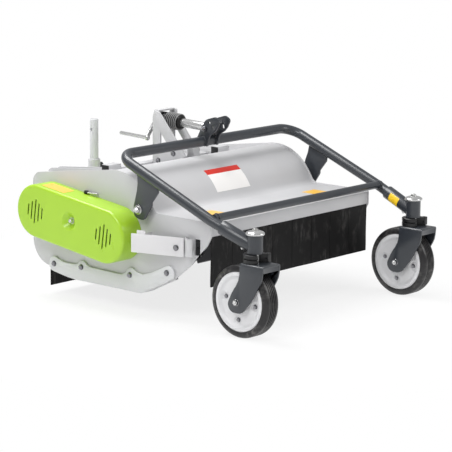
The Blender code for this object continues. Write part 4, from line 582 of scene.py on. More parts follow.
def dress(obj, material, body, stands_for, crease):
    """A finished mesh with its material, on its body, in place of its CAD node."""
    mesh = obj.data
    mesh.materials.clear()
    mesh.materials.append(material)
    mesh.polygons.foreach_set("material_index", [0] * len(mesh.polygons))
    smoothed(mesh, crease)
    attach(obj, body)
    if stands_for:
        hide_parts(stands_for)
    print(f"{obj.name}: {len(mesh.polygons)} faces, on {body}")
    return obj


def place_piece(name, bm, material, body, stands_for=None, bevel=0.0, crease=32.0,
                bevel_angle=30.0, shift=True):
    """A bmesh as a finished piece on a body."""
    if shift:
        bmesh.ops.translate(bm, verts=bm.verts, vec=WORLD_SHIFT)
    bmesh.ops.remove_doubles(bm, verts=bm.verts, dist=MERGE)
    bmesh.ops.recalc_face_normals(bm, faces=bm.faces)
    obj = mesh_object(name, bm)
    if bevel:
        mod = obj.modifiers.new("edge", "BEVEL")
        mod.width = bevel
        mod.segments = 2
        mod.limit_method = "ANGLE"
        mod.angle_limit = math.radians(bevel_angle)
        applied(obj)
    return dress(obj, material, body, stands_for, crease)


# %% [markdown]
# A few shapes make nearly everything: an outline with a thickness, a profile spun about
# an axis, and a ring of points swept along a path.

# %% Mesh helpers


def to_machine(axis, u, v, w):
    return {"X": (w, u, v), "Y": (u, w, v), "Z": (u, v, w)}[axis]


def plate_mesh(outline, low, high, axis, holes=()):
    """An outline with holes between two planes, with quads round its edge."""
    bm = bmesh.new()
    edges = []
    for loop in (outline, *holes):
        verts = [bm.verts.new(to_machine(axis, u, v, low)) for u, v in loop]
        edges += [bm.edges.new((verts[i - 1], verts[i])) for i in range(len(verts))]
    bmesh.ops.triangle_fill(bm, use_beauty=True, use_dissolve=True, edges=edges)
    side = bmesh.ops.extrude_face_region(bm, geom=list(bm.faces))
    moved = [g for g in side["geom"] if isinstance(g, bmesh.types.BMVert)]
    bmesh.ops.translate(bm, verts=moved, vec=Vector(to_machine(axis, 0, 0, high - low)))
    bmesh.ops.recalc_face_normals(bm, faces=bm.faces)
    return bm


def turned_mesh(profile, centre, axis, steps=48, sweep=360.0, start=0.0, bm=None):
    """A profile of (radius, along) spun about an axis through centre."""
    bm = bm or bmesh.new()
    closed = profile[0][0] > 1e-9 or profile[-1][0] > 1e-9
    full = sweep >= 360.0
    rings = []
    for k in range(steps if full else steps + 1):
        angle = math.radians(start + sweep * k / steps)
        points = [to_machine(axis, radius * math.cos(angle), radius * math.sin(angle), along)
                  for radius, along in profile]
        rings.append([bm.verts.new(Vector(centre) + Vector(point)) for point in points])
    count = len(profile)
    for k in range(len(rings) if full else len(rings) - 1):
        one, two = rings[k], rings[(k + 1) % len(rings)]
        for i in range(count if closed else count - 1):
            j = (i + 1) % count
            bm.faces.new((one[i], one[j], two[j], two[i]))
    if not full:
        bm.faces.new(rings[0])
        bm.faces.new(rings[-1])
    bmesh.ops.remove_doubles(bm, verts=bm.verts, dist=1e-7)
    bmesh.ops.dissolve_degenerate(bm, edges=bm.edges, dist=1e-7)
    return bm


BEND_STEP = 5.0


def bend_path(points, radii):
    """A path whose inner corners are bent, with a point every few degrees."""
    out = [Vector(points[0])]
    for i in range(1, len(points) - 1):
        here = Vector(points[i])
        back = (Vector(points[i - 1]) - here).normalized()
        ahead = (Vector(points[i + 1]) - here).normalized()
        half = back.angle(ahead) / 2
        radius = radii[i - 1]
        centre = here + (back + ahead).normalized() * (radius / math.sin(half))
        first = here + back * (radius / math.tan(half)) - centre
        last = here + ahead * (radius / math.tan(half)) - centre
        turn = first.angle(last)
        steps = max(2, round(math.degrees(turn) / BEND_STEP))
        for k in range(steps + 1):
            t = k / steps
            mixed = (math.sin((1 - t) * turn) * first + math.sin(t * turn) * last)
            out.append(centre + mixed / math.sin(turn))
    out.append(Vector(points[-1]))
    return out


def ring(bm, centre, side, up, radius, angles):
    """Vertices round a centre, at angles in radians."""
    return [bm.verts.new(centre + radius * (math.cos(a) * side + math.sin(a) * up))
            for a in angles]


def whole_turn(steps):
    return [2 * math.pi * k / steps for k in range(steps)]


def bridge(bm, one, two):
    """Quads between two closed rings of as many points."""
    for i in range(len(one)):
        bm.faces.new((one[i - 1], one[i], two[i], two[i - 1]))


def tube_mesh(path, radius, bore=0.0, steps=32, bm=None):
    """A round tube or bar swept along a path without twist."""
    bm = bm or bmesh.new()
    path = [Vector(p) for p in path]
    rings = []
    side = None
    for i, point in enumerate(path):
        before = (point - path[i - 1]).normalized() if i else (path[1] - path[0]).normalized()
        after = (path[i + 1] - point).normalized() if i < len(path) - 1 else before
        tangent = (before + after).normalized()
        side = tangent.orthogonal().normalized() if side is None else side
        side = (side - tangent * side.dot(tangent)).normalized()
        up = tangent.cross(side)
        rings.append([ring(bm, point, side, up, r, whole_turn(steps))
                      for r in ((radius, bore) if bore else (radius,))])
    for one, two in zip(rings, rings[1:]):
        for a, b in zip(one, two):
            bridge(bm, a, b)
    for end in (rings[0], rings[-1]):
        if bore:
            bridge(bm, *end)
        else:
            bm.faces.new(end[0])
    return bm


# %% [markdown]
# Many CAD nodes already have the right shape and only lack a worked edge. A copy is
# merged, its flat triangles are dissolved back to plain faces, and a narrow bevel
# runs round every edge. The copy then stands for its node.

# %% Refined copies of CAD nodes
node_body = {node: body for body, nodes in frame["record"]["behaviour"]["bodies"].items()
             for node in nodes}


def refined(node, material, bevel):
    """A CAD node with clean faces and worked edges."""
    source = cad_nodes[node]
    bm = bmesh.new()
    bm.from_mesh(source.data)
    bm.transform(source.matrix_world)
    bmesh.ops.remove_doubles(bm, verts=bm.verts, dist=2e-5)
    bmesh.ops.dissolve_limit(bm, angle_limit=math.radians(1.0), verts=bm.verts,
                             edges=bm.edges)
    place_piece(node + "_fine", bm, material, node_body[node], node, bevel,
                crease=35.0, bevel_angle=38.0, shift=False)


# A name that ends in an underscore stands for a left and a right node
WORKED_EDGES = (
    ("skid_", coat_skid, 0.0012), ("gearbox", coat_body, 0.003),
    ("shaft_cover", coat_green, 0.0008), ("input_shield", plastic_black, 0.0008),
    ("input_shaft", metal_steel, 0.0008), ("hitch_beam", coat_body, 0.003),
    ("guard_nut", metal_bright, 0.0), ("pivot_pin_", metal_zinc, 0.0006),
    ("hitch_", coat_body, 0.0015), ("headstock_plate", coat_body, 0.0012),
    ("headstock_upright", coat_body, 0.0012), ("stand_sleeve", coat_body, 0.0015),
    ("stand_leg", coat_skid, 0.0008), ("stand_lock", metal_black, 0.0008),
    ("rotor_bearing_", metal_dark, 0.001), ("pivot_bracket_", coat_frame, 0.0014),
    ("link_lug_", coat_frame, 0.0012), ("castor_fork_", coat_frame, 0.0016),
    ("link_housing", metal_black, 0.001), ("link_tube", metal_bright, 0.0008),
    ("crank", metal_bright, 0.0010),
)
for node, material, bevel in WORKED_EDGES:
    for side in ("left", "right") if node.endswith("_") else ("",):
        refined(node + side, material, bevel)

# %% [markdown]
# Other nodes lie inside the housing or behind the guard. They keep their CAD mesh
# and only take a better material.

# %% Materials on CAD nodes
KEPT = {
    "drive_belt": rubber_sheet, "driven_pulley": metal_steel,
    "cross_shaft": metal_steel, "rotor": metal_dark, "cross_bar": coat_frame,
    **{f"flail_{k}": metal_dark for k in range(1, 9)},
}
for node, material in KEPT.items():
    mesh = cad_nodes[node].data
    mesh.materials.clear()
    mesh.materials.append(material)
print("CAD meshes kept:", len(KEPT))

# %% [markdown]
# The housing's side view is one curve: a flat front deck, a steep rise to the crest
# over the rotor, and a long fall to the rear. The hood skin is 4 mm sheet folded
# along it, and the side plates are 6 mm sheet cut a little proud of the same line.

# %% Housing profile
DECK_HEIGHT = 0.4035
FRONT_EDGE = 0.2185
CREST = (0.6015, 0.560)
CREST_RADIUS = 0.21
REAR_EDGE = 1.170
SKIN_BREAK = 0.745


def top_line(y):
    return CREST[1] - 0.135 * (y - CREST[0])


def skin_line(y):
    return top_line(SKIN_BREAK) - 0.404 * (y - SKIN_BREAK)


PROUD = 0.004
SHEET = 0.004
front_profile = [(FRONT_EDGE, DECK_HEIGHT, 0.006), (0.500, DECK_HEIGHT, 0.040),
                 (*CREST, CREST_RADIUS)]
proud_profile = [(FRONT_EDGE - 0.001, DECK_HEIGHT + PROUD, 0.009),
                 (0.4985, DECK_HEIGHT + PROUD, 0.037),
                 (CREST[0], CREST[1] + PROUD, CREST_RADIUS + PROUD)]
side_outline = rounded(proud_profile + [
    (REAR_EDGE, top_line(REAR_EDGE) + PROUD, 0.045), (REAR_EDGE, 0.134, 0.100),
    (0.940, 0.102, 0.250), (0.560, 0.102, 0.060), (0.410, 0.158, 0.100), (0.310, 0.2385, 0.250),
    (0.2375, 0.3155, 0.060), (FRONT_EDGE - 0.001, 0.352, 0.010)], step=3.0)
skin_line_top = rounded([(FRONT_EDGE, DECK_HEIGHT - 0.050, 0)] + front_profile + [
    (SKIN_BREAK, top_line(SKIN_BREAK), 0.020), (0.971, skin_line(0.971), 0.025),
    (0.985, 0.256, 0.025), (1.078, 0.248, 0.006), (1.078, 0.220, 0)],
    closed=False, step=3.0)
skin_section = skin_line_top + offset_line(skin_line_top, -SHEET)[::-1]
place_piece("hood_skin", plate_mesh(skin_section, -INNER_HALF + GAP, INNER_HALF - GAP, "X"),
            coat_body, "housing", "hood", bevel=0.0008, crease=28.0)

ROTOR, ROTOR_HOLE = (0.680, 0.292), 0.024
SHAFT, SHAFT_HOLE = (1.045, 0.350), 0.0215
SLOT = (0.272, 0.299, 0.274, 0.336)
for side, sign in SIDES:
    low, high = sorted((sign * HALF_WIDTH, sign * INNER_HALF))
    holes = [circle(ROTOR, ROTOR_HOLE, 32)]
    if side == "left":
        holes += [circle(SHAFT, SHAFT_HOLE, 32), rectangle(*SLOT)]
    place_piece("side_sheet_" + side, plate_mesh(side_outline, low, high, "X", holes),
                coat_body, "housing", "side_plate_" + side, bevel=0.0010)

# %% [markdown]
# The left plate carries a small rolled cheek beside its slot: a strip of 3 mm sheet
# bent through 125 degrees.

# %% Rolled cheek
CHEEK_CENTRE, CHEEK_RADIUS, CHEEK_SHEET = (0.3065, -HALF_WIDTH), 0.031, 0.003
curl = arc(CHEEK_CENTRE, CHEEK_RADIUS, 0, -125, 28)
cheek = [(x + 0.001, y) for y, x in curl + offset_line(curl, -CHEEK_SHEET)[::-1]]
place_piece("side_cheek", plate_mesh(cheek, 0.271, 0.339, "Z"), coat_body, "housing",
            bevel=0.0006)

# %% [markdown]
# What repeats on the machine, such as strips, folds, bolts and weld ripples, is made by
# Geometry Nodes: one tree with named sizes does each kind. Every tree ends by making its
# instances real and setting the material, because an export drops instances. The result
# then becomes a plain mesh, like any other piece.

# %% Geometry Nodes helpers


def tree_with(name, inputs):
    """A Geometry Nodes tree with named inputs of (kind, value), and their sockets."""
    tree = bpy.data.node_groups.new(name, "GeometryNodeTree")
    tree.interface.new_socket("Geometry", in_out="INPUT", socket_type="NodeSocketGeometry")
    for key, (kind, value) in {**inputs, "Material": ("Material", None)}.items():
        socket = tree.interface.new_socket(key, in_out="INPUT", socket_type="NodeSocket" + kind)
        if value is not None:
            socket.default_value = value
    tree.interface.new_socket("Geometry", in_out="OUTPUT", socket_type="NodeSocketGeometry")
    return tree, tree.nodes.new("NodeGroupInput").outputs


def end_tree(tree, given, geometry):
    """The tree's end: real geometry with its material."""
    real = add_node(tree, "GeometryNodeRealizeInstances", Geometry=geometry)
    skin = add_node(tree, "GeometryNodeSetMaterial", Geometry=real.outputs[0],
                    Material=given["Material"])
    add_node(tree, "NodeGroupOutput", Geometry=skin.outputs[0])


def run_tree(name, bm, tree, values, material, body, stands_for=None, crease=32.0):
    """A mesh put through a tree with these input values, made a plain piece."""
    obj = mesh_object(name, bm)
    mod = obj.modifiers.new("repeat", "NODES")
    mod.node_group = tree
    named = {s.name: s.identifier for s in tree.interface.items_tree if s.in_out == "INPUT"}
    for key, value in {**values, "Material": material}.items():
        mod[named[key]] = value
    applied(obj)
    return dress(obj, material, body, stands_for, crease)


# %% [markdown]
# The curtain under the deck is one sheet of 5 mm rubber slit into strips. Each strip
# hangs with its own slight curl, which is what breaks up the light on the black. The
# tree makes the strips from one strip: instances on a line of points, each bent by a
# noise that is read at its own place. The rear curtain is a shorter one, made alike.

# %% Curtain strips
STRIPS = 8
STRIP_SLIT = 0.0016
CURTAIN_HALF = INNER_HALF - 0.001
STRIP_PITCH = 2 * CURTAIN_HALF / STRIPS

strip_tree, given = tree_with("curtain_strips", {
    "Count": ("Int", STRIPS), "Pitch": ("Float", STRIP_PITCH), "Sway": ("Float", 0.004)})
step = add_node(strip_tree, "ShaderNodeCombineXYZ", X=given["Pitch"])
row = add_node(strip_tree, "GeometryNodeMeshLine", Count=given["Count"], Offset=step.outputs[0])
copies = add_node(strip_tree, "GeometryNodeInstanceOnPoints", Points=row.outputs["Mesh"],
                  Instance=given["Geometry"])
strips = add_node(strip_tree, "GeometryNodeRealizeInstances", Geometry=copies.outputs[0])
spot = add_node(strip_tree, "GeometryNodeInputPosition").outputs[0]
wave = add_node(strip_tree, "ShaderNodeTexNoise", Vector=spot, Scale=9.0, Detail=2.0)
height = Term(strip_tree, add_node(strip_tree, "ShaderNodeSeparateXYZ", Vector=spot).outputs["Z"])
loose = add_node(strip_tree, "ShaderNodeClamp", Value=height * -4.6 + 1.75)
sway = (Term(strip_tree, wave.outputs[0]) - 0.5) * given["Sway"] * loose.outputs[0]
push = add_node(strip_tree, "ShaderNodeCombineXYZ", Y=sway)
bent = add_node(strip_tree, "GeometryNodeSetPosition", Geometry=strips.outputs[0],
                Offset=push.outputs[0])
end_tree(strip_tree, given, bent.outputs[0])


def strip_mesh(top, bottom, front, thick, rows, columns=10):
    """One strip as a closed slab with enough rows to bend."""
    width = STRIP_PITCH - STRIP_SLIT
    bm = bmesh.new()
    near, far = ([[bm.verts.new((width * (i / columns), y, top + (bottom - top) * j / rows))
                   for i in range(columns + 1)] for j in range(rows + 1)]
                 for y in (front, front + thick))
    for j in range(rows):
        for i in range(columns):
            bm.faces.new((near[j][i], near[j + 1][i], near[j + 1][i + 1], near[j][i + 1]))
            bm.faces.new((far[j][i], far[j][i + 1], far[j + 1][i + 1], far[j + 1][i]))
    for j in range(rows):
        bm.faces.new((near[j][0], far[j][0], far[j + 1][0], near[j + 1][0]))
        bm.faces.new((near[j][-1], near[j + 1][-1], far[j + 1][-1], far[j][-1]))
    for i in range(columns):
        bm.faces.new((near[0][i], near[0][i + 1], far[0][i + 1], far[0][i]))
        bm.faces.new((near[-1][i], far[-1][i], far[-1][i + 1], near[-1][i + 1]))
    bmesh.ops.translate(bm, verts=bm.verts, vec=world((-CURTAIN_HALF + STRIP_SLIT / 2, 0, 0)))
    bmesh.ops.recalc_face_normals(bm, faces=bm.faces)
    return bm


for name, node, slab, sway in (
        ("curtain_strips", "front_curtain", (0.3935, 0.162, FRONT_EDGE + 0.0043, 0.005, 18), 0.007),
        ("rear_strips", "rear_curtain", (0.2435, 0.0394, 1.0783, 0.0045, 14), 0.002)):
    run_tree(name, strip_mesh(*slab), strip_tree,
             {"Count": STRIPS, "Pitch": STRIP_PITCH, "Sway": sway}, rubber_sheet, "housing", node)

# %% [markdown]
# The belt guard is one moulded shell: a stadium outline, a soft edge rolled back to
# the rim, two groups of vents and a cone in the middle for its nut. Rings of points
# are lofted from the rim to the face, and the vents and the cone are loops in the
# face, so the wall has one even thickness and every slot is open.

# %% Belt guard
GUARD_FRONT = (0.676, 0.308)
GUARD_REAR = (1.049, 0.358)
GUARD_FACE = -0.5793
GUARD_RADIUS = 0.105
GUARD_WALL = 0.003
GUARD_EDGE = 0.011
GUARD_CONE = ((0.036, 0.0), (0.0335, 0.0018), (0.020, 0.0175), (0.018, 0.0195), (0.0162, 0.0200))
GUARD_BORE = 0.0058
VENT_LENGTHS = (0.045, 0.073, 0.099, 0.073, 0.045)
VENT_PITCH = 0.019
VENT_WIDTH = 0.0066
guard_lean = math.atan2(GUARD_REAR[1] - GUARD_FRONT[1], GUARD_REAR[0] - GUARD_FRONT[0])
guard_mid = ((GUARD_FRONT[0] + GUARD_REAR[0]) / 2, (GUARD_FRONT[1] + GUARD_REAR[1]) / 2 + 0.010)
along_guard = Vector((math.cos(guard_lean), math.sin(guard_lean)))
up_guard = Vector((-along_guard.y, along_guard.x))


def stadium(radius, steps):
    lean = math.degrees(guard_lean)
    return (arc(GUARD_REAR, radius, lean - 90, lean + 90, steps)
            + arc(GUARD_FRONT, radius, lean + 90, lean + 270, steps))


def vent_loops():
    """Slots with round ends, longest in the middle of each group."""
    loops = []
    for centre in (GUARD_FRONT, GUARD_REAR):
        for k, length in enumerate(VENT_LENGTHS):
            middle = Vector(centre) + along_guard * (k - 2) * VENT_PITCH
            half, r = length / 2 - VENT_WIDTH / 2, VENT_WIDTH / 2
            loop = []
            for end, first in ((1, 0), (-1, 180)):
                tip = middle + up_guard * half * end
                for a in range(first, first + 181, 30):
                    turn = math.radians(a)
                    loop.append(tuple(tip + along_guard * r * math.cos(turn)
                                      + up_guard * r * math.sin(turn)))
            loops.append(loop)
    return loops


def guard_mesh():
    """Outer and inner skin of the guard, joined at the rim, the vents and the bore."""
    bm = bmesh.new()
    back = -(HALF_WIDTH + GAP)

    def loop(points, x):
        return [bm.verts.new((x, u, v)) for u, v in points]

    skins = []
    for shrink in (0.0, GUARD_WALL):
        face = GUARD_FACE + shrink
        rings = [loop(stadium(GUARD_RADIUS - shrink, 40), back)]
        edge = GUARD_EDGE - shrink * 0.5
        for k in range(9):
            turn = math.radians(90 * k / 8)
            rings.append(loop(stadium(GUARD_RADIUS - shrink - edge * (1 - math.cos(turn)), 40),
                              face + edge * (1 - math.sin(turn))))
        vents = [loop(points, face) for points in vent_loops()]
        cone = [loop(circle(guard_mid, r + shrink * 0.5, 40), face + d) for r, d in GUARD_CONE]
        cone.append(loop(circle(guard_mid, GUARD_BORE, 40), face + GUARD_CONE[-1][1]))
        for line in (rings, cone):
            for one, two in zip(line, line[1:]):
                bridge(bm, one, two)
        edges = []
        for points in (rings[-1], cone[0], *vents):
            for i in range(len(points)):
                pair = (points[i - 1], points[i])
                edges.append(bm.edges.get(pair) or bm.edges.new(pair))
        bmesh.ops.triangle_fill(bm, use_beauty=True, use_dissolve=False, edges=edges)
        skins.append((rings[0], cone[-1], *vents))
    for one, two in zip(*skins):
        bridge(bm, one, two)
    return bm


place_piece("guard_shell", guard_mesh(), coat_green, "housing", "belt_guard", crease=30.0)

# %% [markdown]
# The wheel frame is one tube, 40 mm across, bent to a U. Its arms turn in slightly to
# the castors. The path is the CAD one with finer bends.

# %% Wheel frame tube
FRAME_HALF = 0.507
FRAME_TUBE, FRAME_BORE = 0.020, 0.017
FRAME_BAR = (0.662, 0.6145)
FRAME_SLOPE = 0.4035
KNEE_Y = 0.195
KNEE_BEND, CORNER_BEND = 0.150, 0.075
CASTOR_X = 0.480
BARREL_BOTTOM, BARREL_TOP = 0.3245, 0.3945
BARREL_RADIUS = 0.029
SLEEVE_LENGTH = 0.125
SOCKET_DEPTH = 0.046


def arm_height(y):
    return FRAME_BAR[1] - FRAME_SLOPE * (FRAME_BAR[0] - y)


knee = Vector((FRAME_HALF, KNEE_Y, arm_height(KNEE_Y)))
swivel = Vector((CASTOR_X, 0.0, (BARREL_BOTTOM + BARREL_TOP) / 2 - 0.010))
run_in = (swivel - knee).normalized()
socket_start = swivel - run_in * (SLEEVE_LENGTH + BARREL_RADIUS)
tube_end = socket_start + run_in * (SOCKET_DEPTH - 0.001)
corner = Vector((FRAME_HALF, *FRAME_BAR))
frame_path = bend_path([mirrored(tube_end, -1), mirrored(knee, -1), mirrored(corner, -1),
                        corner, knee, tube_end],
                       [KNEE_BEND, CORNER_BEND, CORNER_BEND, KNEE_BEND])
place_piece("frame_tube_fine", tube_mesh(frame_path, FRAME_TUBE, FRAME_BORE, 40), coat_frame,
            "wheel_frame", "frame_tube", crease=40)

# %% [markdown]
# Each castor foot is a thick sleeve welded to a turned barrel. The sleeve's lip and
# the barrel's rims are eased, as a lathe leaves them.

# %% Castor feet
SLEEVE_RADIUS, SLEEVE_BORE = 0.0270, 0.0208
for side, sign in SIDES:
    lip, socket_end, foot_end = (mirrored(p, sign) for p in (
        socket_start, socket_start + run_in * SOCKET_DEPTH, swivel))
    bm = tube_mesh([lip, socket_end], SLEEVE_RADIUS, SLEEVE_BORE, 40)
    tube_mesh([socket_end, foot_end], SLEEVE_RADIUS, 0.0, 40, bm)
    place_piece("castor_sleeve_" + side, bm, coat_frame, "wheel_frame", bevel=0.0014)
    barrel = [(0.0155, BARREL_BOTTOM), (BARREL_RADIUS - 0.0015, BARREL_BOTTOM),
              (BARREL_RADIUS, BARREL_BOTTOM + 0.0015), (BARREL_RADIUS, BARREL_TOP - 0.0015),
              (BARREL_RADIUS - 0.0015, BARREL_TOP), (0.0155, BARREL_TOP)]
    place_piece("castor_barrel_" + side, turned_mesh(barrel, (sign * CASTOR_X, 0, 0), "Z", 56),
                coat_frame, "wheel_frame", "frame_foot_" + side)

# %% [markdown]
# On top of each barrel sits a pressed dome cap in bright zinc with a nut and the
# spindle's end. All of it is one profile turned about the swivel axis.

# %% Castor caps and clips
FORK_TOP = 0.292
for side, sign in SIDES:
    x = sign * CASTOR_X
    dome = [(0.0355 * math.cos(a), BARREL_TOP + GAP + 0.004 + 0.0125 * math.sin(a))
            for a in np.radians(np.linspace(0, 62, 12))]
    profile = [(0, FORK_TOP + GAP), (0.015, FORK_TOP + GAP), (0.015, BARREL_TOP + GAP),
               (0.0348, BARREL_TOP + GAP), (0.0355, BARREL_TOP + GAP + 0.001)] + dome + [
        (0.0150, BARREL_TOP + 0.0158), (0, BARREL_TOP + 0.0158)]
    place_piece("castor_cap_" + side, turned_mesh(profile, (x, 0, 0), "Z", 64), metal_bright,
                "castor_" + side, "castor_spindle_" + side, crease=40)
    nut = bmesh.new()
    bmesh.ops.create_cone(nut, cap_ends=True, segments=6, radius1=0.0118, radius2=0.0118,
                          depth=0.0062)
    bmesh.ops.translate(nut, verts=nut.verts, vec=(x, 0, BARREL_TOP + 0.0185))
    place_piece("castor_nut_" + side, nut, metal_zinc, "castor_" + side, bevel=0.0012)
    place_piece("castor_stud_" + side, turned_mesh([
        (0, BARREL_TOP + 0.016), (0.0062, BARREL_TOP + 0.016), (0.0062, BARREL_TOP + 0.0232),
        (0.0052, BARREL_TOP + 0.0242), (0, BARREL_TOP + 0.0242)], (x, 0, 0), "Z", 24),
        metal_zinc, "castor_" + side)
    low, high = FORK_TOP + GAP, BARREL_BOTTOM - GAP
    mid = (low + high) / 2
    clip = [(0.0155, low), (0.0425, low), (0.044, low + 0.0015), (0.044, mid - 0.003),
            (0.0425, mid - 0.002), (0.038, mid - 0.0018), (0.038, mid + 0.0018),
            (0.0425, mid + 0.002), (0.044, mid + 0.003), (0.044, high - 0.0015),
            (0.0425, high), (0.0155, high)]
    place_piece("castor_ring_" + side, turned_mesh(clip, (x, 0, 0), "Z", 64, 290, -55),
                plastic_black, "castor_" + side, "castor_clip_" + side, crease=40)
    tab = plate_mesh(rounded([(x + 0.030, -0.034, 0.004), (x + 0.052, -0.034, 0.004),
                              (x + 0.052, -0.014, 0.004), (x + 0.030, -0.014, 0.004)], step=15),
                     low, high, "Z")
    place_piece("castor_tab_" + side, tab, plastic_black, "castor_" + side, bevel=0.0010)

# %% [markdown]
# The wheels are solid rubber on white moulded rims. The tyre has a rounded shoulder
# and two grooves on each side of its middle, and the rim a dished web with a hub and
# four shallow cups that hold its bolts.

# %% Castor wheels
WHEEL_RADIUS = 0.1365
RIM_RADIUS = 0.1115
WHEEL_WIDTH = 0.076
TRAIL = 0.046
CUP_RING = 0.071
CUP_RADIUS, CUP_SLOPE, CUP_DEPTH = 0.0185, 0.0060, 0.0050
WHEEL_SEATS = []


def half_round(profile):
    """A profile given for one side, closed with its mirror image."""
    return profile + [(r, -a) for r, a in profile[::-1]]


def wheel(side, sign):
    centre = (sign * CASTOR_X, TRAIL, GROUND + WHEEL_RADIUS)
    half = WHEEL_WIDTH / 2
    tread = WHEEL_RADIUS
    shoulder = [(tread - 0.010 + 0.010 * math.sin(a), half - 0.004 - 0.014 * (1 - math.cos(a)))
                for a in np.radians(np.linspace(0, 90, 10))]
    outer = [(RIM_RADIUS, half - 0.003), (RIM_RADIUS + 0.001, half - 0.0006),
             (RIM_RADIUS + 0.004, half), (tread - 0.012, half - 0.001)]
    grooves = []
    for at in (0.0135, 0.0045):
        grooves += [(tread, at + 0.0022), (tread - 0.0030, at + 0.0014),
                    (tread - 0.0030, at - 0.0014), (tread, at - 0.0022)]
    outline = outer + shoulder[1:] + grooves
    place_piece("tyre_" + side, turned_mesh(half_round(outline), centre, "X", 96),
                rubber_tyre, "wheel_" + side, "castor_tyre_" + side, crease=38)
    web = half - 0.0105
    web_rings = [(r, web) for r in np.linspace(0.0290, 0.0840, 24)]
    rim = [(0.0086, 0.0400), (0.0188, 0.0400), (0.0200, 0.0392), (0.0208, web + 0.0040),
           (0.0235, web + 0.0012), *web_rings, (0.0880, web + 0.0010),
           (0.0930, half - 0.0050), (0.0965, half - 0.0018), (0.1000, half - 0.0008),
           (0.1070, half - 0.0008), (RIM_RADIUS - 0.0004, half - 0.0030)]
    bm = turned_mesh(half_round(rim), centre, "X", 144)
    cups = [(centre[1] + CUP_RING * math.cos(a), centre[2] + CUP_RING * math.sin(a))
            for a in np.radians((8, 98, 188, 278))]
    for vert in bm.verts:
        along = vert.co.x - centre[0]
        if abs(abs(along) - web) > 1e-5:
            continue
        near = min(math.hypot(vert.co.y - y, vert.co.z - z) for y, z in cups)
        share = min(1.0, max(0.0, (CUP_RADIUS - near) / CUP_SLOPE))
        vert.co.x -= math.copysign(CUP_DEPTH * share * share * (3 - 2 * share), along)
    place_piece("rim_" + side, bm, plastic_rim, "wheel_" + side, "castor_rim_" + side, crease=30)
    for face in (-1, 1):
        seats = [world((centre[0] + face * (web - CUP_DEPTH), y, z)) for y, z in cups]
        WHEEL_SEATS.append((side, face, seats))


for side, sign in SIDES:
    wheel(side, sign)

# %% [markdown]
# The screw link is the machine's finest mechanism. A rubber bellows keeps dirt off
# its thread: seven round convolutions, with a plain cuff at the tube's end. Geometry
# Nodes make the folds from a straight line whose radius is a wave, skinned with a
# circle.

# %% Link bellows
LINK_REAR = Vector((0.0, 0.902, 0.6765))
LINK_FRONT = Vector((0.0, 0.649, 0.667))
BELLOWS_START, BELLOWS_END = 0.0255, 0.0950
BELLOWS_RIBS, BELLOWS_ROOT, BELLOWS_CREST = 7, 0.0205, 0.0340
link_axis = (LINK_FRONT - LINK_REAR).normalized()


def skinned(tree, curve, radius, steps):
    """A curve skinned with a circle whose radius varies along it."""
    circle_curve = add_node(tree, "GeometryNodeCurvePrimitiveCircle", Resolution=steps,
                            Radius=1.0)
    return add_node(tree, "GeometryNodeCurveToMesh", Curve=curve, Scale=radius,
                    Profile_Curve=circle_curve.outputs[0], Fill_Caps=True).outputs[0]


bellows_tree, given = tree_with("bellows", {
    "Ribs": ("Int", BELLOWS_RIBS), "Root": ("Float", BELLOWS_ROOT),
    "Crest": ("Float", BELLOWS_CREST)})
axis_curve = add_node(bellows_tree, "GeometryNodeMeshToCurve", Mesh=given["Geometry"])
fine = add_node(bellows_tree, "GeometryNodeResampleCurve", Curve=axis_curve.outputs[0], Count=220)
share = Term(bellows_tree, add_node(bellows_tree, "GeometryNodeSplineParameter").outputs["Factor"])
turn = share * given["Ribs"] * (2 * math.pi)
fold = maths(bellows_tree, "COSINE", turn) * -0.5 + 0.5
marked = add_node(bellows_tree, "GeometryNodeStoreNamedAttribute", {"data_type": "FLOAT"},
                  Geometry=fine.outputs[0], Name="crest", Value=fold)
depth = Term(bellows_tree, given["Crest"]) - given["Root"]
radius = maths(bellows_tree, "POWER", fold, 0.75) * depth + given["Root"]
end_tree(bellows_tree, given, skinned(bellows_tree, marked.outputs[0], radius, 48))

line = bmesh.new()
line.edges.new([line.verts.new(world(LINK_REAR + link_axis * d))
                for d in (BELLOWS_START, BELLOWS_END)])
bellows = run_tree("bellows_folds", line, bellows_tree,
                   {"Ribs": BELLOWS_RIBS, "Root": BELLOWS_ROOT, "Crest": BELLOWS_CREST},
                   rubber_bellows, "link", "link_bellows", crease=60)
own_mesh(bellows)

# %% [markdown]
# The cuff grips the sliding tube, so it rides on the slider and keeps its shape. It is
# five rings of points on the link's axis, bridged.

# %% Cuff of the bellows
CUFF_START, CUFF_END = 0.0952, 0.106
CUFF = ((0.0268, 0), (0.0275, 0.08), (0.0275, 0.30), (0.0225, 0.85), (0.0205, 1.0))
side_axis = Vector((1, 0, 0))
cuff = bmesh.new()
cuff_rings = [ring(cuff, LINK_REAR + link_axis * (CUFF_START + (CUFF_END - CUFF_START) * d),
                   side_axis, link_axis.cross(side_axis), r, whole_turn(48)) for r, d in CUFF]
for one, two in zip(cuff_rings, cuff_rings[1:]):
    bridge(cuff, one, two)
for end in (cuff_rings[0], cuff_rings[-1]):
    cuff.faces.new(end)
place_piece("bellows_cuff", cuff, rubber_bellows, "link_slider")

# %% [markdown]
# The deflector in front of the guard is one bar of 6 mm flat that stands off the plate.
# A spacer carries its front end, and a folded rest behind its rear end shows only as a
# small tab over the bar's top edge.

# %% Deflector bar


def joined(*shapes):
    """Several meshes as one."""
    out = bmesh.new()
    for shape in shapes:
        mesh = bpy.data.meshes.new("shape")
        shape.to_mesh(mesh)
        shape.free()
        out.from_mesh(mesh)
        bpy.data.meshes.remove(mesh)
    return out


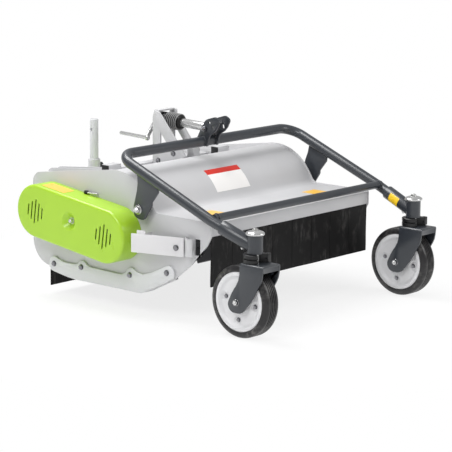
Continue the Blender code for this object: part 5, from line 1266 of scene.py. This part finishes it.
BAR_REAR = Vector((-0.556, 0.550))
BAR_FRONT = Vector((-0.490, 0.342))
BAR_THICK = 0.006
BAR_LOW, BAR_HIGH = 0.263, 0.335
BAR_BOLT = (0.372, 0.296)
SPACER_RADIUS = 0.011
PLATE_FACE = -(HALF_WIDTH + GAP)
bar_run = (BAR_FRONT - BAR_REAR).normalized()
bar_in = Vector((-bar_run.y, bar_run.x))


def behind_bar(y, depth):
    """A point of the plan behind the bar's outer face."""
    return tuple(BAR_REAR + bar_run * (y - BAR_REAR.y) / bar_run.y + bar_in * depth)


bar_flat = [tuple(BAR_REAR), tuple(BAR_FRONT), behind_bar(BAR_FRONT.y, BAR_THICK),
            behind_bar(BAR_REAR.y, BAR_THICK)]
rest_flat = [behind_bar(y, d) for y, d in ((0.530, 0.006), (0.496, 0.006), (0.496, 0.011),
                                           (0.530, 0.011))]
web_flat = [behind_bar(0.525, 0.009), behind_bar(0.520, 0.009), (PLATE_FACE, 0.520),
            (PLATE_FACE, 0.525)]
spacer_end = behind_bar(BAR_BOLT[0], 0.004)[0]
spacer = turned_mesh([(0, spacer_end), (SPACER_RADIUS, spacer_end), (SPACER_RADIUS, PLATE_FACE),
                      (0, PLATE_FACE)], (0, *BAR_BOLT), "X", 28)
place_piece("deflector_bar", joined(
    plate_mesh(bar_flat, BAR_LOW, BAR_HIGH, "Z"), plate_mesh(rest_flat, 0.269, 0.348, "Z"),
    plate_mesh(web_flat, 0.270, 0.332, "Z"), spacer), coat_bumper, "housing", "guard_bumper",
    bevel=0.0008)

# %% [markdown]
# Bolts sit all over the machine. One Geometry Nodes tree scatters a template on points:
# it turns the template's axis to the way the bolt faces and spins each head by a
# random angle, because no fitter lines them up. A ray on the CAD node that carries a
# bolt finds its seat.

# %% Fastener templates
WASHER = 0.0018


def template(name, shape):
    """A fastener at the origin, facing up, to be scattered."""
    obj = mesh_object(name, shape)
    smoothed(obj.data, 30)
    return obj


def hex_head(across, height, washer, stud=0.0, rise=0.0):
    """A hexagon with a turned-down top on a washer; with a stud it is a nut."""
    corner = across / 2 / math.cos(math.radians(30))
    top = WASHER + height
    shape = turned_mesh([(0, 0), (washer, 0), (washer, WASHER * 0.7), (washer - 0.0005, WASHER),
                         (0, WASHER)], (0, 0, 0), "Z", 28)
    turned_mesh([(0, WASHER), (corner, WASHER), (corner, WASHER + height * 0.80),
                 (across / 2 * 0.96, top), (0, top)], (0, 0, 0), "Z", 6, bm=shape)
    if stud:
        tip = [(0, top - 0.001), (stud, top - 0.001), (stud, top + rise - 0.0008),
               (stud - 0.0008, top + rise), (0, top + rise)]
    else:
        tip = [(0, top - 0.0006), (across * 0.26, top - 0.0006), (across * 0.24, top + 0.0003),
               (0, top + 0.0003)]
    return turned_mesh(tip, (0, 0, 0), "Z", 16, bm=shape)


bolt_large = template("bolt_large", hex_head(0.017, 0.0062, 0.0118))
bolt_small = template("bolt_small", hex_head(0.0125, 0.0048, 0.0088))
nut_large = template("nut_large", hex_head(0.018, 0.0080, 0.0125, 0.0055, 0.0035))

scatter_tree, given = tree_with("scatter", {
    "Piece": ("Object", None), "Facing": ("Vector", (0, 0, 1)), "Size": ("Float", 1.0),
    "Seed": ("Int", 0)})
shape_in = add_node(scatter_tree, "GeometryNodeObjectInfo", Object=given["Piece"])
turned_to = add_node(scatter_tree, "FunctionNodeAlignRotationToVector", {"axis": "Z"},
                     Vector=given["Facing"])
laid = add_node(scatter_tree, "GeometryNodeInstanceOnPoints", Points=given["Geometry"],
                Instance=shape_in.outputs["Geometry"], Rotation=turned_to.outputs[0],
                Scale=given["Size"])
any_turn = add_node(scatter_tree, "FunctionNodeRandomValue", {"data_type": "FLOAT"}, i2=0.0,
                    i3=2 * math.pi, i8=given["Seed"])
about_z = add_node(scatter_tree, "ShaderNodeCombineXYZ", Z=any_turn.outputs[1])
spun = add_node(scatter_tree, "GeometryNodeRotateInstances", Instances=laid.outputs[0],
                Rotation=about_z.outputs[0], Local_Space=True)
end_tree(scatter_tree, given, spun.outputs[0])
print("templates:", bolt_large.name, bolt_small.name, nut_large.name)

# %% [markdown]
# A bolt must touch what it clamps, seen from any side. A ray from outside finds the
# carrying node's surface. Where the node has a hole in that place, four rays beside it
# are tried, and the highest hit is the seat.

# %% Seats on the CAD nodes
node_trees = {}


def seat(node, point, facing, aside=0.0):
    """Where a fastener sits on a CAD node, in world coordinates, coming from outside."""
    if node not in node_trees:
        mesh = cad_nodes[node].data
        node_trees[node] = BVHTree.FromPolygons([v.co for v in mesh.vertices],
                                                [p.vertices for p in mesh.polygons])
    facing = Vector(facing).normalized()
    across = facing.orthogonal().normalized() * aside
    best = None
    for k in range(4 if aside else 1):
        start = world(point) + Matrix.Rotation(math.pi / 2 * k + 0.4, 3, facing) @ across
        hit = node_trees[node].ray_cast(start + facing, -facing)[0]
        if hit and (best is None or hit.dot(facing) > best):
            best = hit.dot(facing)
    middle = world(point)
    return middle + facing * (best - middle.dot(facing))


def bolts(name, points, facing, piece, material, body, size=1.0, seed=1):
    """Fasteners of one kind that face one way, at world points."""
    bm = bmesh.new()
    for point in points:
        bm.verts.new(point)
    run_tree(name, bm, scatter_tree,
             {"Piece": piece, "Facing": tuple(facing), "Size": size, "Seed": seed},
             material, body)


# %% [markdown]
# The skids, the deflector, the tower and the rotor's bearings are bolted to the housing.
# Each group is one piece, because its bolts face one way and ride on one body.

# %% Bolts on the housing
SKID_BOLTS = ((1.044, 0.135), (0.892, 0.143), (0.628, 0.151), (0.434, 0.188))
for side, sign in SIDES:
    out = (sign, 0, 0)
    bolts("skid_bolts_" + side, [seat("skid_" + side, (0, y, z), out, 0.010)
                                 for y, z in SKID_BOLTS], out, bolt_large, metal_bolt,
          "housing", seed=3)
bar_out = Vector((-bar_in.x, -bar_in.y, 0.0))
bolts("deflector_bolt", [world((*behind_bar(BAR_BOLT[0], 0.0), BAR_BOLT[1]))], bar_out,
      bolt_large, metal_bolt, "housing")
PLATE_BOLTS = ((0.882, 0.516), (0.799, 0.553))
bolts("headstock_bolts", [seat("headstock_plate", (0, y, z), (-1, 0, 0), 0.010)
                          for y, z in PLATE_BOLTS], (-1, 0, 0), bolt_large, metal_bolt, "housing",
      seed=5)
for side, sign in SIDES:
    out = (sign, 0, 0)
    ring_bolts = [(0, ROTOR[0] + 0.040 * math.cos(a), ROTOR[1] + 0.040 * math.sin(a))
                  for a in np.radians((45, 135, 225, 315))]
    bolts("bearing_bolts_" + side, [seat("rotor_bearing_" + side, p, out) for p in ring_bolts],
          out, bolt_small, metal_zinc, "housing", 0.9)

# %% [markdown]
# The moving bodies carry their own bolts: pivots, link, axles, sleeves and rims. Each
# group rides on the body that it turns with. The templates have then done their work.

# %% Bolts on the wheel frame and castors
for side, sign in SIDES:
    out = (sign, 0, 0)
    bolts("pivot_bolt_" + side, [seat("pivot_pin_" + side, (0, 0.561, 0.417), out)], out,
          bolt_large, metal_bright, node_body["pivot_pin_" + side], 0.9)
    bolts("link_nut_" + side, [seat("link_lug_" + side, (0, 0.649, 0.667), out, 0.009)], out,
          nut_large, metal_bolt, "wheel_frame", 0.85)
    for face in (-1, 1):
        bolts(f"axle_nut_{side}_{'outer' if face == sign else 'inner'}",
              [seat("castor_fork_" + side, (sign * CASTOR_X, TRAIL, GROUND + WHEEL_RADIUS),
                    (face, 0, 0), 0.013)], (face, 0, 0),
              bolt_small if face == sign == 1 else nut_large, metal_bright, "castor_" + side)

# A clamp bolt passes down through each sleeve, its head above and its nut below
for side, sign in SIDES:
    run = mirrored(run_in, sign)
    upward = run.cross(Vector((0, 0, 1)).cross(run)).normalized()
    upward *= 1 if upward.z > 0 else -1
    middle = world(mirrored(swivel - run_in * 0.046, sign))
    bolts("clamp_bolt_" + side, [middle + upward * 0.0266], upward, bolt_small, metal_bright,
          "wheel_frame", 0.9)
    bolts("clamp_nut_" + side, [middle - upward * 0.0266], -upward, nut_large, metal_bright,
          "wheel_frame", 0.7)

for side, face, seats in WHEEL_SEATS:
    bolts(f"rim_bolts_{side}_{'a' if face < 0 else 'b'}", seats, (face, 0, 0), bolt_small,
          metal_bolt, "wheel_" + side, seed=7)

for spare in (bolt_large, bolt_small, nut_large):
    bpy.data.meshes.remove(spare.data)

# %% [markdown]
# Where steel meets steel there is a weld: a bead about 5 mm wide with one ripple for
# each pulse of the torch. The tree skins a line with a circle whose radius ripples
# along the line's length.

# %% Weld beads
bead_tree, given = tree_with("weld_bead", {
    "Radius": ("Float", 0.0026), "Ripple": ("Float", 0.14), "Pitch": ("Float", 0.0030)})
bead_line = add_node(bead_tree, "GeometryNodeMeshToCurve", Mesh=given["Geometry"])
bead_fine = add_node(bead_tree, "GeometryNodeResampleCurve", {"mode": "LENGTH"},
                     Curve=bead_line.outputs[0], Length=0.0009)
run = add_node(bead_tree, "GeometryNodeSplineParameter").outputs["Length"]
pulse = maths(bead_tree, "DIVIDE", run, given["Pitch"]) * (2 * math.pi)
swell = maths(bead_tree, "SINE", pulse) * given["Ripple"] + 1.0
end_tree(bead_tree, given,
         skinned(bead_tree, bead_fine.outputs[0], swell * given["Radius"], 8))


def beads(name, lines, material, body, radius=0.0026):
    """Weld beads along machine polylines."""
    bm = bmesh.new()
    for line_points in lines:
        verts = [bm.verts.new(world(p)) for p in line_points]
        for one, two in zip(verts, verts[1:]):
            bm.edges.new((one, two))
    run_tree(name, bm, bead_tree, {"Radius": radius}, material, body, crease=80)


def straight(first, last):
    return [tuple(Vector(first).lerp(Vector(last), k / 6)) for k in range(7)]


frame_beads = []
for sign in (-1, 1):
    frame_beads.append(straight((sign * 0.5160, 0.462, arm_height(0.462) - 0.0185),
                                (sign * 0.5160, 0.556, arm_height(0.556) - 0.0185)))
    for face in (0.0255, 0.0345):
        frame_beads.append([(sign * face, u, v)
                            for u, v in arc(FRAME_BAR, FRAME_TUBE + 0.0006, 95, 235, 24)])
    frame_beads.append([(sign * 0.4860, u, v) for u, v in arc((0.181, 0.433), 0.0156, 0, 360, 30)])
beads("frame_welds", frame_beads, coat_frame, "wheel_frame")
hood_beads = []
for at in (-0.0548, -0.0452):
    hood_beads.append([(at, y, skin_line(y) + 0.0006) for y in np.linspace(0.750, 0.912, 14)])
beads("hood_welds", hood_beads, coat_body, "housing", 0.0022)

# %% [markdown]
# Printed sheets on the machine are plain here: blank patches of the same colours and
# sizes. The one on the hood follows the fold of the sheet, so it is cut from the
# hood's own profile.

# %% Blank patches
PATCH_THICK = 0.0005
PATCH_LIFT = 0.0002


def line_part(line, start, end):
    """The stretch of a polyline between two lengths."""
    out, run = [], 0.0
    for one, two in zip(line, line[1:]):
        a, b = Vector(one), Vector(two)
        step = (b - a).length
        if run + step > start and run < end:
            low = max(0.0, (start - run) / step)
            high = min(1.0, (end - run) / step)
            if not out:
                out.append(tuple(a.lerp(b, low)))
            out.append(tuple(a.lerp(b, high)))
        run += step
    return out


def skin_patch(name, start, end, material):
    """A thin patch on the hood's outer face between two lengths of its profile."""
    low = offset_line(line_part(skin_line_top, start, end), PATCH_LIFT)
    high = offset_line(low, PATCH_THICK)
    place_piece(name, plate_mesh(low + high[::-1], -0.100, 0.0965, "X"), material, "housing")


HOOD_PATCH = (0.3636, 0.4720)
BAND = 0.026
skin_patch("patch_hood", HOOD_PATCH[0], HOOD_PATCH[1] - BAND - 0.0004, patch_white)
skin_patch("patch_hood_band", HOOD_PATCH[1] - BAND, HOOD_PATCH[1], patch_red)
for x0, x1, key in ((0.270, 0.350, "right"), (-0.350, -0.270, "left")):
    patch = rounded([(x0, 0.300, 0.004), (x1, 0.300, 0.004), (x1, 0.400, 0.004),
                     (x0, 0.400, 0.004)], step=15)
    place_piece("patch_deck_" + key, plate_mesh(patch, DECK_HEIGHT + PATCH_LIFT,
                                                DECK_HEIGHT + PATCH_LIFT + PATCH_THICK, "Z"),
                patch_amber, "housing")


def on_guard(along, out):
    """A point of the side view above the guard's middle line."""
    return tuple(Vector(GUARD_FRONT) + along_guard * along + up_guard * (GUARD_RADIUS + out))


guard_patch = [on_guard(0.250, 0.0002), on_guard(0.370, 0.0002), on_guard(0.370, 0.0007),
               on_guard(0.250, 0.0007)]
place_piece("patch_guard", plate_mesh(guard_patch, -0.560, -0.500, "X"), patch_amber, "housing")

# %% [markdown]
# The patch on the right sleeve is wrapped on a tube, so it is two arcs of points at each
# end, closed into a thin curved slab.

# %% Patch on the right sleeve
sleeve_mid = socket_start + run_in * 0.060
across_sleeve = run_in.cross(Vector((0, 0, 1))).normalized()
up_sleeve = across_sleeve.cross(run_in)
wrap_angles = np.radians(np.linspace(-38, 44, 18))
wrap = bmesh.new()
(low_in, low_out), (high_in, high_out) = (
    [ring(wrap, sleeve_mid + run_in * along, across_sleeve, up_sleeve,
          SLEEVE_RADIUS + lift, wrap_angles) for lift in (0.0002, 0.0007)]
    for along in (-0.026, 0.026))
for i in range(len(wrap_angles) - 1):
    wrap.faces.new((low_out[i], low_out[i + 1], high_out[i + 1], high_out[i]))
    wrap.faces.new((low_in[i + 1], low_in[i], high_in[i], high_in[i + 1]))
    wrap.faces.new((low_in[i], low_in[i + 1], low_out[i + 1], low_out[i]))
    wrap.faces.new((high_in[i + 1], high_in[i], high_out[i], high_out[i + 1]))
wrap.faces.new((low_in[0], low_out[0], high_out[0], high_in[0]))
wrap.faces.new((low_in[-1], high_in[-1], high_out[-1], low_out[-1]))
place_piece("patch_sleeve", wrap, patch_yellow, "wheel_frame")

# %% [markdown]
# Small things finish it: black plugs close the square stubs of the lower hitch, and a
# threaded rod with a black nut reaches out over the guard to tighten its belt.

# %% Plugs and belt tensioner
STUB_MID = (0.883, 0.5138)
for sign in (-1, 1):
    for face in (-1, 1):
        end_x = sign * 0.3215 + face * 0.033
        plug = rounded([(STUB_MID[0] + a * 0.0185, STUB_MID[1] + b * 0.0185, 0.003)
                        for a, b in ((-1, -1), (1, -1), (1, 1), (-1, 1))], step=15)
        low, high = sorted((end_x + face * GAP, end_x + face * 0.0030))
        place_piece(f"stub_plug_{'left' if sign < 0 else 'right'}_{'a' if face < 0 else 'b'}",
                    plate_mesh(plug, low, high, "X"), plastic_black, "housing", bevel=0.0009)

ROD = (-0.4850, 0.4440)
rod_profile = [(0, 0.796)]
for k in range(26):
    y = 0.797 + 0.0022 * k
    rod_profile += [(0.0034, y), (0.0042, y + 0.0011)]
rod_profile += [(0.0034, 0.8542), (0, 0.8542)]
place_piece("tensioner_rod", turned_mesh(rod_profile, (ROD[0], 0, ROD[1]), "Y", 20),
            metal_zinc, "housing", crease=20)
place_piece("tensioner_nut", turned_mesh([(0, 0.850), (0.0085, 0.850), (0.0092, 0.852),
                                          (0.0092, 0.864), (0.0080, 0.866), (0, 0.866)],
                                         (ROD[0], 0, ROD[1]), "Y", 6), plastic_black, "housing",
            bevel=0.0008)
